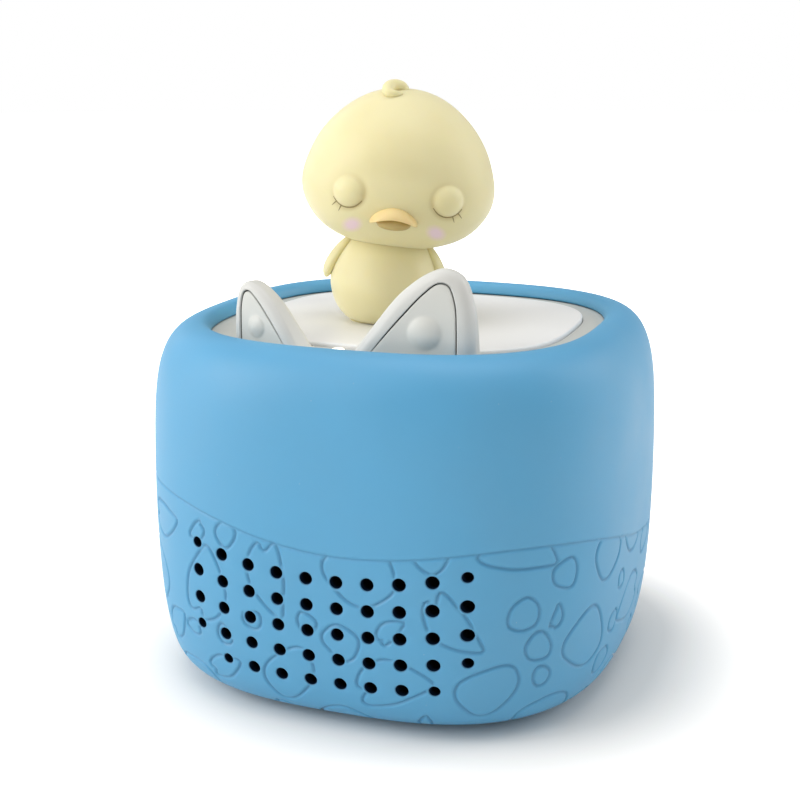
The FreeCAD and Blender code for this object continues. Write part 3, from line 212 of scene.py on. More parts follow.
def port_distance(points):
    """Distance in x and z from the port window's edge, for points at the back."""
    x, y, z = points.T
    reach = np.maximum(np.abs(x) - (PORT_HALF_X - PORT_HALF_Z), 0)
    return np.where(y > 0, np.hypot(reach, z - PORT_MID_Z) - PORT_HALF_Z, FAR)


def hole_distance(points, grow=0.0, scale=1.0):
    """Distance in x and z from the nearest hole's edge, for points at the front."""
    x, y, z = points.T
    gap = np.min([np.hypot(x - a, z - b) - (radius + grow) * scale
                  for a, b, radius in cuts[:-1]], axis=0)
    return np.where(y < 0, gap, FAR)


def inside_cut(points, hole_grow, port_grow):
    """True for each point that lies in a hole or in the port window, made wider by grow."""
    return ((port_distance(points) < port_grow - PORT_SLACK)
            | (hole_distance(points, hole_grow, HOLE_SLACK) < 0))


# The engraving: pebbles and leaves strewn at random over the lower part, large ones first,
# and cut off by a wandering line that runs all round.
LINE_HALF, LINE_DEPTH = 0.62, 0.5
TOP_LINE_HALF, TOP_LINE_DEPTH = 0.5, 0.32
LINE_STEP = 0.9
ENGRAVED_FROM = 6.5
CLEAR_OF_PORT, CLEAR_OF_HOLE, FADED_IN = 2.6, 0.25, 0.5
MOTIF_SIZES = ((10.4, 500), (8.4, 900), (6.4, 1800), (4.7, 3000), (3.3, 2500))  # size, tries
MOTIF_REACH, LEAF_SHARE = 0.93, 0.4
ROW_OFFSETS = (0, -0.22, 0.22, -0.43, 0.43, -0.64, 0.64, -1.05, 1.05)
FINE_SEAM_WITHIN, SEAM_FROM, GRID_FROM = 1.2, 1.3, 1.4      # distances from the nearest line
TOP_LINE = [(-180, 44), (-158, 41.5), (-135, 41), (-112, 44.5), (-90, 48), (-66, 51.5),
            (-48, 52.9), (-36, 51.6), (-27, 49.7), (-14, 46.4), (0, 44.4), (12, 44.7),
            (25, 46.4), (35, 48.0), (47, 48.2), (61, 45.8), (72, 42.6), (86, 38.4),
            (104, 35.5), (124, 36.5), (150, 41.5), (180, 44)]    # degrees from the front, height
draw = random.Random(31)


def top_line(s):
    """The t at which the engraving ends, for places s."""
    turns, heights = np.array(TOP_LINE, float).T
    even = np.arange(-540, 541, 2.0)
    level = np.interp((even + 180) % 360 - 180, turns, heights)
    bell = np.hanning(13)
    level = np.convolve(level, bell / bell.sum(), "same")
    turn = np.degrees(np.interp(np.asarray(s) % skin.around, skin.plan_run, skin.turn))
    return np.interp(np.interp(turn, even, level), skin.side[0], skin.side[1])


def softened(corners, rounds):
    """A closed outline whose corners are cut off again and again."""
    points = np.array(corners, float)
    for _ in range(rounds):
        after = np.roll(points, -1, axis=0)
        points = np.stack([0.78 * points + 0.22 * after, 0.22 * points + 0.78 * after], 1)
        points = points.reshape(-1, 2)
    return points


def pebble():
    sides = draw.randint(4, 6)
    spin = draw.uniform(0, 2 * math.pi)
    corners = []
    for k in range(sides):
        turn = spin + (k + draw.uniform(-0.25, 0.25)) * 2 * math.pi / sides
        reach = draw.uniform(0.84, 1.18)
        corners.append((reach * math.cos(turn), reach * math.sin(turn)))
    return softened(corners, 4)


def leaf():
    """A bent leaf, pointed at one end and notched at the other."""
    bend, fat = draw.uniform(-0.32, 0.32), draw.uniform(0.52, 0.74)
    points = softened([(-0.95, 0.25), (-0.62, fat * 0.85), (0.1, fat), (0.75, fat * 0.5),
                       (1.2, 0.0), (0.7, -fat * 0.55), (0.0, -fat), (-0.66, -fat * 0.8),
                       (-0.98, -0.2), (-0.6, 0.0)], 3)
    points[:, 1] += bend * (1 - points[:, 0] ** 2)
    spin = draw.uniform(0, 2 * math.pi)
    return points @ np.array([[math.cos(spin), math.sin(spin)],
                              [-math.sin(spin), math.cos(spin)]])


def strewn():
    """Closed outlines of (s, t) that don't touch each other."""
    taken, outlines = [], []
    for size, tries in MOTIF_SIZES:
        for _ in range(tries):
            s, t = draw.uniform(0, skin.around), draw.uniform(4.0, 60.0)
            if t > top_line(s) + 0.45 * size:
                continue
            half = skin.around / 2
            if any(math.hypot((s - a + half) % (2 * half) - half, t - b)
                   < MOTIF_REACH * (size + r) for a, b, r in taken):
                continue
            taken.append((s, t, size))
            shape = leaf() if draw.random() < LEAF_SHARE else pebble()
            shape = shape * size * draw.uniform(0.84, 0.94)
            outlines.append(np.concatenate([shape, shape[:1]]) + (s, t))
    return outlines


def clear_stretches(outline):
    """The parts of a closed line that lie in the engraved band and off the port window."""
    points = evenly(outline, LINE_STEP)[:-1]
    fits = (points[:, 1] < top_line(points[:, 0]) + 0.01) & (points[:, 1] > ENGRAVED_FROM)
    fits &= port_distance(skin.at(points)) > CLEAR_OF_PORT
    if fits.all():
        return [np.concatenate([points, points[:1]])]
    first = int(np.argmin(fits))
    points, fits = np.roll(points, -first, axis=0), np.roll(fits, -first)
    parts = np.split(np.arange(len(points)), np.flatnonzero(np.diff(fits)) + 1)
    return [points[part] for part in parts if fits[part[0]] and len(part) > 3]


lines = [part for outline in strewn() for part in clear_stretches(outline)]
around = np.arange(0, skin.around + LINE_STEP, LINE_STEP)
upper = np.stack([around, top_line(around)], 1)


def line_tree(stretches):
    """A search tree of the places along lines, also just over the seam at the side."""
    places = np.concatenate([evenly(line, 0.12) for line in stretches])
    places = np.concatenate([places + (shift, 0) for shift in (0, skin.around, -skin.around)])
    places = places[(places[:, 0] > -4) & (places[:, 0] < skin.around + 4)]
    tree = KDTree(len(places))
    for index, (s, t) in enumerate(places):
        tree.insert((s, t, 0), index)
    tree.balance()
    return tree


motif_tree, upper_tree = line_tree(lines), line_tree([upper])


def engraving(places):
    """How deep the engraving is at each place, and how near its nearest line.

    The lines run out just before they reach a hole, so that its edge stays round."""
    depth, near = 0.0, FAR
    for tree, half, deep in ((motif_tree, LINE_HALF, LINE_DEPTH),
                             (upper_tree, TOP_LINE_HALF, TOP_LINE_DEPTH)):
        away = np.array([tree.find((s, t, 0))[2] for s, t in places])
        depth = np.maximum(depth, deep * (1 + np.cos(np.pi * np.minimum(away / half, 1))) / 2)
        near = np.minimum(near, away)
    fade = (hole_distance(skin.at(places)) - CLEAR_OF_HOLE) / FADED_IN
    return depth * np.clip(fade, 0, 1), near


def rows_beside(line):
    """Places in rows along a line, which give its walls even faces."""
    way = np.gradient(line, axis=0)
    way /= np.hypot(*way.T)[:, None]
    across = np.stack([-way[:, 1], way[:, 0]], 1)
    return np.concatenate([line + across * off for off in ROW_OFFSETS])


def thinned(places, gap, kept):
    """Leaves out each place that is nearer than gap to an earlier one."""
    cells, out = {}, []
    for number, (s, t) in enumerate(kept + [tuple(p) for p in places]):
        i, j = int(s // gap), int(t // gap)
        if number >= len(kept) and any(
                (s - a) ** 2 + (t - b) ** 2 < gap * gap
                for u in (-1, 0, 1) for v in (-1, 0, 1) for a, b in cells.get((i + u, j + v), ())):
            continue
        cells.setdefault((i, j), []).append((s, t))
        if number >= len(kept):
            out.append((s, t))
    return out


def meshed(wall, loops, beside, widest, columns):
    """Places and triangles of a wall outside its loops, with each loop's own indices."""
    bend = np.abs(np.diff(np.unwrap(np.arctan2(wall.way[:, 1], wall.way[:, 0]))))
    effort = np.concatenate([[0], np.cumsum(bend / math.radians(8) + np.diff(wall.run) / widest)])
    count = int(math.ceil(effort[-1]))
    rows = np.interp(np.linspace(0, effort[-1], count + 1), effort, wall.run)
    edge = np.linspace(0, wall.around, columns + 1)
    rim = [(s, t) for s in edge for t in (0, wall.length)]
    seam = rows[1:-1]
    if len(beside):
        fine = np.arange(seam[0], seam[-1], 0.2)
        on_line = engraving(np.stack([0 * fine, fine], 1))[1] < FINE_SEAM_WITHIN
        off_line = engraving(np.stack([0 * seam, seam], 1))[1] > SEAM_FROM
        seam = np.concatenate([seam[off_line], fine[on_line]])
    rim += [(s, t) for s in (0, wall.around) for t in seam]
    firm = [tuple(place) for loop in loops for place in loop]
    grid = np.array([(s, t) for s in edge[1:-1] for t in rows[1:-1]])
    if len(beside):
        grid = grid[engraving(grid)[1] > GRID_FROM]
        beside = beside[(beside[:, 0] > 0.3) & (beside[:, 0] < wall.around - 0.3)]
        beside = thinned(beside, 0.16, firm + rim)
    grid = grid[~inside_cut(wall.at(grid), HOLE_RIM + 0.3, PORT_RIM + 0.3)]
    grid = thinned(grid, 0.6, firm)
    grid = thinned(grid, 0.12, rim)
    places = firm + rim + list(beside) + grid
    numbers = np.split(np.arange(len(firm)), np.cumsum([len(loop) for loop in loops])[:-1])
    edges = [(int(a), int(b)) for loop in numbers for a, b in zip(loop, np.roll(loop, -1))]
    spots, _, faces, origins = delaunay_2d_cdt([Vector(p) for p in places], edges, [], 0, 1e-7)[:4]
    where = {old: new for new, olds in enumerate(origins) for old in olds}
    rings = [[where[k] for k in loop] for loop in numbers]
    return np.array([tuple(v) for v in spots]), np.array([tuple(face) for face in faces]), rings


def ring_places(wall, cut, grow):
    x, z = cut_edge(cut, grow)
    return wall.place(x, z, -1.0 if cut else 1.0)


# Painted shade on the walls of the holes, against the painted shade of 1 in a line.
HOLE_WALL_SHADE = 3.6                 # how dark a hole's wall gets, against a line's 1


def sleeve_mesh():
    """Vertices in millimetres, faces, and the painted shade at each vertex, in the engraved lines
    and down the walls of the holes.
    """
    rims = [HOLE_RIM if cut else PORT_RIM for cut in cuts]
    loops = [ring_places(skin, cut, rim) for cut, rim in zip(cuts, rims)]
    beside = np.concatenate([rows_beside(line) for line in lines + [upper]])
    beside[:, 0] %= skin.around
    beside = beside[~inside_cut(skin.at(beside), HOLE_RIM + 0.13, PORT_RIM + 0.2)]
    places, faces, rings = meshed(skin, loops, beside, widest=2.6, columns=170)
    keep = ~inside_cut(skin.at(places[faces].mean(axis=1)), HOLE_RIM, PORT_RIM)
    depth, _ = engraving(places)
    # Painted shade that deepens with the engraving.
    points, painted_sleeve_shade = [skin.at(places, depth)], [depth / LINE_DEPTH]
    faces = [tuple(face) for face in faces[keep]]
    lining_loops = [ring_places(lining, cut, 0.0) for cut in cuts]
    spots, inner_faces, inner_rings = meshed(lining, lining_loops, [], widest=4.0, columns=170)
    keep = ~inside_cut(lining.at(spots[inner_faces].mean(axis=1)), 0.0, 0.0)
    first_inner = len(places)
    points.append(lining.at(spots))
    # Painted shade on the lining round each hole.
    hole_lining_shade = np.zeros(len(spots))
    hole_lining_shade[[k for ring in inner_rings[:-1] for k in ring]] = HOLE_WALL_SHADE
    painted_sleeve_shade.append(hole_lining_shade)
    faces += [tuple(face + first_inner) for face in inner_faces[keep]]
    count = first_inner + len(spots)
    for cut, rim, last, inner in zip(cuts, rims, rings, inner_rings):
        for turn in (0.5, 1.0, 1.5708):     # the rounded rim, in radians
            grow = rim * (1 - math.sin(turn))
            spots = ring_places(skin, cut, grow)
            depth, _ = engraving(spots)
            ring = skin.at(spots, depth)
            ring[:, 1] -= rim * (1 - math.cos(turn)) * (-1 if cut else 1)
            points.append(ring)
            # Painted shade that deepens down the rounded rim into the hole's wall.
            wall = HOLE_WALL_SHADE * (1 - grow / rim) ** 2 if cut else 0.0
            painted_sleeve_shade.append(depth / LINE_DEPTH * 0.7 + wall)
            here = list(range(count, count + len(ring)))
            count += len(ring)
            faces += lofted([last, here], True)
            last = here
        faces += lofted([last, [k + first_inner for k in inner]], True)
    return np.concatenate(points), faces, np.concatenate(painted_sleeve_shade)


def lofted(rings, closed):
    """Faces between successive rings, each given as a row of indices."""
    faces = []
    for ring, other in zip(rings, rings[1:]):
        for k in range(len(ring) if closed else len(ring) - 1):
            m = (k + 1) % len(ring)
            faces.append((ring[k], ring[m], other[m], other[k]))
    return faces


def rings_of(rows):
    """The indices of rows of points, row by row."""
    return np.arange(rows.shape[0] * rows.shape[1]).reshape(rows.shape[:2]).tolist()


def tube_faces(rows, caps=True):
    """Faces of rows of points that close round, with both ends capped or left."""
    rings = rings_of(rows)
    return lofted(rings, True) + ([rings[0][::-1], rings[-1]] if caps else [])


def made(name, points, material, faces=None, values=None):
    """A smooth closed piece from points in millimetres, which are rows if no faces are given."""
    points = np.asarray(points, float)
    faces = tube_faces(points) if faces is None else faces
    mesh = bpy.data.meshes.new(name)
    work = bmesh.new()
    layers = {key: work.verts.layers.float.new(key) for key in (values or {})}
    corners = [work.verts.new(Vector(point) * MM) for point in points.reshape(-1, 3)]
    for key, layer in layers.items():
        for corner, value in zip(corners, np.ravel(values[key])):
            corner[layer] = float(value)
    for face in faces:
        work.faces.new([corners[k] for k in face])
    bmesh.ops.remove_doubles(work, verts=work.verts, dist=0.002 * MM)
    loose = [corner for corner in work.verts if not corner.link_faces]
    bmesh.ops.delete(work, geom=loose, context="VERTS")
    bmesh.ops.recalc_face_normals(work, faces=work.faces)
    for face in work.faces:
        face.smooth = True
    work.to_mesh(mesh)
    work.free()
    mesh.materials.append(material)
    return shown(name, mesh)


def shown(name, data):
    piece = bpy.data.objects.new(name, data)
    bpy.context.scene.collection.objects.link(piece)
    return piece


def handed(piece, body, slot, *replaced):
    """Says which body a piece moves with and hides the nodes it stands for. Its slot is not used.
    """
    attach(piece, body)
    for name in replaced:
        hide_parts(name)


def node(tree, kind, links=None, **values):
    """A node with its values set by property, and its inputs linked or set."""
    item = tree.nodes.new(kind)
    for key, value in values.items():
        setattr(item, key, value)
    for key, value in (links or {}).items():
        if isinstance(value, bpy.types.NodeSocket):
            tree.links.new(value, item.inputs[key])
        else:
            item.inputs[key].default_value = value
    return item


def calc(tree, operation, *values, clamp=False):
    return node(tree, "ShaderNodeMath", dict(enumerate(values)), operation=operation,
                use_clamp=clamp).outputs[0]


def ranged(tree, value, low, high, start=0.0, end=1.0):
    """A value carried from one range to another."""
    return node(tree, "ShaderNodeMapRange", {
        "Value": value, "From Min": low, "From Max": high, "To Min": start,
        "To Max": end}).outputs[0]


def mixed(tree, factor, colour, other):
    """A mix of two colours, each a socket or a plain colour."""
    pair = [value if isinstance(value, bpy.types.NodeSocket) else (*value, 1)
            for value in (colour, other)]
    return node(tree, "ShaderNodeMix", {"Factor": factor, 6: pair[0], 7: pair[1]},
                data_type="RGBA").outputs[2]


def object_place(tree):
    return node(tree, "ShaderNodeTexCoord").outputs["Object"]


def marked(tree, name):
    return node(tree, "ShaderNodeAttribute", attribute_name=name).outputs["Fac"]


def plain_material(name, **shader):
    """A new material, its node tree and its shader, with plain values set."""
    material = bpy.data.materials.new(name)
    material.use_nodes = True
    principled = material.node_tree.nodes["Principled BSDF"]
    for key, value in shader.items():
        principled.inputs[key.replace("_", " ")].default_value = value
    return material, material.node_tree, principled


def tinted(material, factor, colour):
    """Turns a material's colour towards another one, by a factor from 0 to 1."""
    tree = material.node_tree
    base = tree.nodes["Principled BSDF"].inputs["Base Color"]
    tree.links.new(mixed(tree, factor, base.links[0].from_socket, colour), base)


# Skin of a moulded piece: fine grain, slow mottling, and a few specks of dust, each as a value
# from 0 to 1, and the grain as a normal.
moulded = bpy.data.node_groups.new("moulded_skin", "ShaderNodeTree")
for key, value in (("Grain per m", 2600.0), ("Grain depth", 0.00002), ("Mottle per m", 70.0),
                   ("Dust", 0.3)):
    moulded.interface.new_socket(key, in_out="INPUT",
                                 socket_type="NodeSocketFloat").default_value = value
given = moulded.nodes.new("NodeGroupInput").outputs
spot = object_place(moulded)
grain = node(moulded, "ShaderNodeTexNoise", {"Vector": spot, "Scale": given["Grain per m"],
                                             "Detail": 3.0, "Roughness": 0.6}).outputs["Fac"]
mottle = node(moulded, "ShaderNodeTexNoise", {"Vector": spot, "Scale": given["Mottle per m"],
                                              "Detail": 4.0, "Roughness": 0.55}).outputs["Fac"]
specks = node(moulded, "ShaderNodeTexVoronoi", {"Vector": spot, "Scale": 420.0}).outputs
pick = node(moulded, "ShaderNodeSeparateColor", {"Color": specks["Color"]}).outputs[0]
speck = calc(moulded, "MULTIPLY", calc(moulded, "SUBTRACT", 0.055, specks["Distance"]), 40.0,
             clamp=True)
speck = calc(moulded, "MULTIPLY", speck, calc(moulded, "GREATER_THAN", pick, 0.93))
speck = calc(moulded, "MULTIPLY", speck, given["Dust"])
grain_bump = node(moulded, "ShaderNodeBump", {"Height": grain, "Distance": given["Grain depth"],
                                              "Strength": 1.0}).outputs["Normal"]
put_out = {"Mottle": mottle, "Grain": grain, "Dust": speck, "Normal": grain_bump}
for key in put_out:
    moulded.interface.new_socket(key, in_out="OUTPUT", socket_type="NodeSocket"
                                 + ("Vector" if key == "Normal" else "Float"))
node(moulded, "NodeGroupOutput", put_out)
DUST_COLOUR = (0.7, 0.7, 0.68)


def finish_of(name, dark, light, rough, grain=(2600.0, 0.00002), mottle=70.0, dust=0.3,
              **shader):
    """A moulded material. Colour goes from dark to light and roughness between two values."""
    material, tree, principled = plain_material(name, **shader)
    look = node(tree, "ShaderNodeGroup", node_tree=moulded)
    for key, value in zip(("Grain per m", "Grain depth", "Mottle per m", "Dust"),
                          (*grain, mottle, dust)):
        look.inputs[key].default_value = value
    look = look.outputs
    dusty = mixed(tree, look["Dust"], mixed(tree, look["Mottle"], dark, light), DUST_COLOUR)
    for key, value in (("Base Color", dusty), ("Normal", look["Normal"]),
                       ("Roughness", ranged(tree, look["Mottle"], 0.3, 0.7, *rough))):
        tree.links.new(value, principled.inputs[key])
    return material


# Blue silicone: matt, a little see-through at its edges, with painted shade where the lines are
# sunk and on the walls of the holes.
silicone = finish_of("blue_silicone", (0.056, 0.325, 0.570), (0.070, 0.365, 0.630), (0.50, 0.60),
                     Subsurface_Weight=0.1, Subsurface_Radius=(0.3, 0.6, 1.0),
                     Subsurface_Scale=0.0012, Specular_IOR_Level=1.0, Sheen_Weight=0.06,
                     Sheen_Roughness=0.5)
SUNK_SHADE = 0.27                   # at the bottom of an engraved line
tree = silicone.node_tree
# The engraved attribute turns the blue towards dark blue: painted shade in the lines and the holes.
tinted(silicone, calc(tree, "MULTIPLY", marked(tree, "engraved"), SUNK_SHADE, clamp=True),
       (0.008, 0.060, 0.150))
points, faces, painted_sleeve_shade = sleeve_mesh()
SLEEVE_FITTED = (0.99995, 0.99975, 1.0)     # keeps the bellied sides inside the frame's box
sleeve = made("sleeve", points * SLEEVE_FITTED, silicone, faces, {"engraved": painted_sleeve_shade})
# The walls of the holes are left dull by the mould's pins, and hardly any light gets in. They get a
# near-black copy of the silicone as painted shade.
hole_wall = finish_of("hole_wall_painted_shade", (0.003, 0.014, 0.036), (0.006, 0.022, 0.052),
                      (0.85, 0.95), Specular_IOR_Level=0.1)
sleeve.data.materials.append(hole_wall)
values = sleeve.data.attributes["engraved"].data
# Faces deep in the painted shade of the holes take the near-black material.
for face in sleeve.data.polygons:
    face.material_index = int(all(values[k].value > 0.8 * HOLE_WALL_SHADE for k in face.vertices))
handed(sleeve, "player", "sleeve_blue", "outer_sleeve")

# ---- Hard housing --------------------------------------------------------------------------
# Base plate, chassis and top bezel: three matt ABS mouldings screwed together inside the
# sleeve. The bezel's deck shows as a pale ring round the stand plate; the others are dark.
def dress(material, *names):
    """Gives CAD pieces a finish in place of the plain one."""
    for name in names:
        materials = nodes[name].data.materials
        for slot in range(len(materials)):
            materials[slot] = material
        if not materials:
            materials.append(material)


deck_plastic = finish_of("grey_deck_plastic", (0.545, 0.550, 0.515), (0.600, 0.605, 0.570),
                         (0.42, 0.55), (1900.0, 0.00003), 55.0, 0.25)
dark_plastic = finish_of("dark_housing_plastic", (0.010, 0.012, 0.016), (0.020, 0.023, 0.028),
                         (0.78, 0.92), (1500.0, 0.00005), 60.0, 0.15, IOR=1.2)
dress(deck_plastic, "top_bezel")
dress(dark_plastic, "chassis", "base_plate", "speaker_baffle", "battery_cradle")

# ---- Grille cloth -----------------------------------------------------------------------------
# Black acoustic cloth, a plain weave of fine threads, is glued inside the chassis wall, behind
# the grille holes.
THREADS_PER_M = 2600.0
weave, tree, principled = plain_material("black_acoustic_cloth", Roughness=0.9, Sheen_Weight=0.3)
axes = node(tree, "ShaderNodeSeparateXYZ", {"Vector": object_place(tree)}).outputs
waves = [calc(tree, "SINE", calc(tree, "MULTIPLY", axes[axis], THREADS_PER_M * math.pi))
         for axis in ("X", "Z")]
height = ranged(tree, calc(tree, "MULTIPLY", *waves), -1.0, 1.0)
tone = mixed(tree, height, (0.003, 0.003, 0.004), (0.022, 0.022, 0.025))
bump = node(tree, "ShaderNodeBump", {"Height": height, "Distance": 0.00012})
tree.links.new(tone, principled.inputs["Base Color"])
tree.links.new(bump.outputs["Normal"], principled.inputs["Normal"])
dress(weave, "grille_cloth")

# ---- Stand plate ---------------------------------------------------------------------------------
# The off-white plate is one satin ABS moulding that lies in the deck. The figure stands on it,
# held by a magnet below.
plate_plastic = finish_of("white_plate_plastic", (0.850, 0.850, 0.845), (0.885, 0.885, 0.880),
                          (0.34, 0.46), (2200.0, 0.00002), 45.0, 0.35)
dress(plate_plastic, "stand_plate")

# ---- Lamp ----------------------------------------------------------------------------------------
# The lamp's lens is a small frosted pin between the ears, pushed into the deck from below until
# its flange stops it. A warm white diode lights it from behind.
LAMP_SPOT, LENS_TOP = (-4.6, -37.8), 87.0
LENS_PROFILE = [(1e-3, 3.45), (2.2, 3.45), (2.2, 2.65), (1.5, 2.65), (1.5, 0.34), (1.44, 0.2),
                (1.25, 0.1), (0.85, 0.03), (0.4, 0.0), (1e-3, 0.0)]     # radius, depth


def turned(profile, sides):
    """Rows of a form turned about the Y axis, from (radius, y) pairs."""
    angle = np.linspace(0, 2 * np.pi, sides, endpoint=False)
    return np.array([np.stack([r * np.cos(angle), np.full(sides, y), r * np.sin(angle)], 1)
                     for r, y in profile])


lens_plastic = finish_of("frosted_lamp_lens", (0.86, 0.80, 0.68), (0.95, 0.90, 0.78),
                         (0.3, 0.4), (2400.0, 0.00002), 200.0, 0.0,
                         Emission_Color=(1.0, 0.86, 0.62, 1), Emission_Strength=1.6,
                         Subsurface_Weight=0.3, Subsurface_Scale=0.001)
rows = turned(LENS_PROFILE, 48)[:, :, [0, 2, 1]] * (1, 1, -1) + (*LAMP_SPOT, LENS_TOP)
lamp_lens = made("lamp_lens", rows, lens_plastic, tube_faces(rows, False))
handed(lamp_lens, "player", "lamp_lens", "indicator_lens")

# ---- Ears and keys ------------------------------------------------------------------------------
# Two ear-shaped housings stand on the deck. Each is a thick pale grey moulding with a rolled
# edge, round a pocket that holds a slightly darker key with a dome to press. A tenon under the
# ear passes through the deck. Both sizes come from the same outlines.
EAR_EDGE = [(-13.4, 0.0), (-7.8, 7.3), (-1.3, 15.2), (4.8, 19.8), (9.0, 21.1), (12.9, 19.3),
            (15.3, 13.0), (16.4, 0.0)]
KEY_EDGE = [(-9.0, 0.3), (-0.7, 10.0), (4.6, 15.6), (7.8, 17.9), (9.9, 17.5), (11.4, 13.6),
            (11.8, 7.5), (11.8, 0.3)]
EDGE_POINTS = 97
EAR_ROLL, EAR_BACK_ROLL = 3.0, 2.6  # rounding of the front and back edges
ROLL_DROP = 0.82                    # the front rounding's depth, as a share of its width
BACK_TILT = math.radians(7)
EAR_FOOT = -0.4
KEY_GAP, KEY_SET_BACK, KEY_THICKNESS, KEY_ROUND = 0.26, 0.1, 1.8, 0.35
POCKET_DEPTH = 2.8
DOME_SPOT, DOME_RADIUS, DOME_HEIGHT, DOME_FILLET = (4.7, 6.8), 3.9, 1.2, 0.16
ears = {
    "large": {"at": (13.5, -43.3), "turn": 6.0, "ratio": 1.0, "mirror": 1, "depth": 8.5},
    "small": {"at": (-21.3, -41.0), "turn": -20.0, "ratio": 0.72, "mirror": -1, "depth": 7.4},
}


def through(points, count):
    """A smooth line through points (Catmull-Rom, centripetal), evenly spaced."""
    points = np.array(points, float)
    points = np.concatenate([[2 * points[0] - points[1]], points, [2 * points[-1] - points[-2]]])
    out = []
    for a, b, c, d in zip(points, points[1:], points[2:], points[3:]):
        k = np.cumsum([0] + [max(np.hypot(*(q - p)), 1e-6) ** 0.5
                             for p, q in ((a, b), (b, c), (c, d))])
        for t in np.linspace(k[1], k[2], 24, endpoint=False):
            ab = a + (b - a) * (t - k[0]) / (k[1] - k[0])
            bc = b + (c - b) * (t - k[1]) / (k[2] - k[1])
            cd = c + (d - c) * (t - k[2]) / (k[3] - k[2])
            abc = ab + (bc - ab) * (t - k[0]) / (k[2] - k[0])
            bcd = bc + (cd - bc) * (t - k[1]) / (k[3] - k[1])
            out.append(abc + (bcd - abc) * (t - k[1]) / (k[2] - k[1]))
    return resampled(np.array(out + [points[-2]]), count)


def outward(line):
    """Unit normals of a line that runs from left to right over the top."""
    way = np.gradient(line, axis=0)
    way /= np.hypot(*way.T)[:, None]
    return np.stack([-way[:, 1], way[:, 0]], 1)


def raised(line, y):
    """A line in the ear's face as points at depth y."""
    return np.stack([line[:, 0], np.broadcast_to(y, len(line)), line[:, 1]], 1)


def ear_shell_mesh(ear):
    """Rows of the shell from the pocket's floor over the edge to the back, and its faces."""
    size, depth = ear["ratio"], ear["depth"]
    edge, inner = through(EAR_EDGE, EDGE_POINTS) * size, through(KEY_EDGE, EDGE_POINTS) * size
    inner = inner + outward(inner) * KEY_GAP
    for line in (edge, inner):
        for end, fade in ((0, (1, 0)), (-1, (0, 1))):
            line[:, 1] -= np.linspace(*fade, EDGE_POINTS) ** 12 * (line[end, 1] - EAR_FOOT)
    edge = edge + outward(edge) * 0.45 * np.exp(-(np.maximum(edge[:, 1:], 0) / 0.9) ** 2)
    gap = np.hypot(*(edge - inner).T)
    toward = (edge - inner) / gap[:, None]
    roll = np.minimum(EAR_ROLL * size ** 0.5, gap * 0.92)
    flat = gap - roll
    rows = [raised(inner, y) for y in (POCKET_DEPTH, 0.5, 0.22)]
    rows += [raised(inner + toward * along, y)
             for along, y in ((0.06, 0.08), (0.16, 0.015), (0.28, 0.0))]
    rows.append(raised(inner + toward * (flat * 0.6)[:, None], 0.0))
    for turn in np.radians((0, 12, 24, 36, 48, 60, 72, 82, 90)):
        rows.append(raised(inner + toward * (flat + roll * math.sin(turn))[:, None],
                           roll * (1 - math.cos(turn)) * ROLL_DROP))
    back_roll = EAR_BACK_ROLL * depth / ears["large"]["depth"]

    def back(line):
        return depth - np.maximum(line[:, 1], 0) * math.tan(BACK_TILT)

    start = roll * ROLL_DROP
    rows += [raised(edge, start + (back(edge) - back_roll - start) * part) for part in (0.35, 0.7)]
    inward = -outward(edge)
    inward[:, 1] = np.where(edge[:, 1] < 1.0, 0.0, inward[:, 1])
    for turn in np.radians((0, 15, 30, 45, 60, 75, 90)):
        here = edge + inward * back_roll * (1 - math.cos(turn))
        rows.append(raised(here, back(here) - back_roll * (1 - math.sin(turn))))
    for reach in (0.35, 0.7):
        here = edge + inward * (back_roll + reach)
        rows.append(raised(here, back(here)))
    rows = np.array(rows)
    rings = rings_of(rows)
    half = EDGE_POINTS // 2
    floor, mirrored = rings[0], rings[0][half + 1:][::-1]
    faces = lofted(rings, False) + [rings[-1], (floor[half - 1], floor[half], mirrored[half - 1])]
    faces += lofted([floor[:half], mirrored], False)
    # Painted shade on the pocket's floor and walls, seen through the gap round the key.
    dark = np.zeros(rows.shape[:2])
    dark[:3] = [[1.0], [1.0], [0.4]]
    return rows, faces, dark


def key_rows(ear):
    """The key's panel with a softly rounded edge, and its dome."""
    size = ear["ratio"]
    edge = through(KEY_EDGE, EDGE_POINTS) * size
    foot = np.stack([np.linspace(edge[-1, 0], edge[0, 0], 26)[1:-1],
                     np.full(24, edge[0, 1])], 1)
    loop = np.concatenate([edge, foot])
    centre = np.array(DOME_SPOT) * size
    inward = centre - loop
    inward = inward / np.hypot(*inward.T)[:, None]
    radius, fillet = DOME_RADIUS * size, DOME_FILLET * size
    rows = [raised(loop, KEY_SET_BACK + KEY_THICKNESS), raised(loop, KEY_SET_BACK + KEY_ROUND)]
    for turn in np.radians((30, 60, 90)):
        rows.append(raised(loop + inward * KEY_ROUND * (1 - math.cos(turn)),
                           KEY_SET_BACK + KEY_ROUND * (1 - math.sin(turn))))
    start, rim = loop + inward * KEY_ROUND, centre - inward * (radius + 0.5)
    rows += [raised(start + (rim - start) * part, KEY_SET_BACK)
             for part in (0.2, 0.4, 0.6, 0.8, 0.93)]
    for out in (radius + 0.5, radius + 0.2, radius, radius - 0.25):
        blend = max(0.0, 1 - (out - radius + 0.25) / 0.75)
        rows.append(raised(centre - inward * out, KEY_SET_BACK - fillet * blend * blend))
    for part in (0.88, 0.78, 0.65, 0.5, 0.34, 0.17, 0.05):
        rise = DOME_HEIGHT * size * (1 - part ** 2.2)
        rows.append(raised(centre - inward * radius * part, KEY_SET_BACK - max(rise, fillet)))
    return np.array(rows)


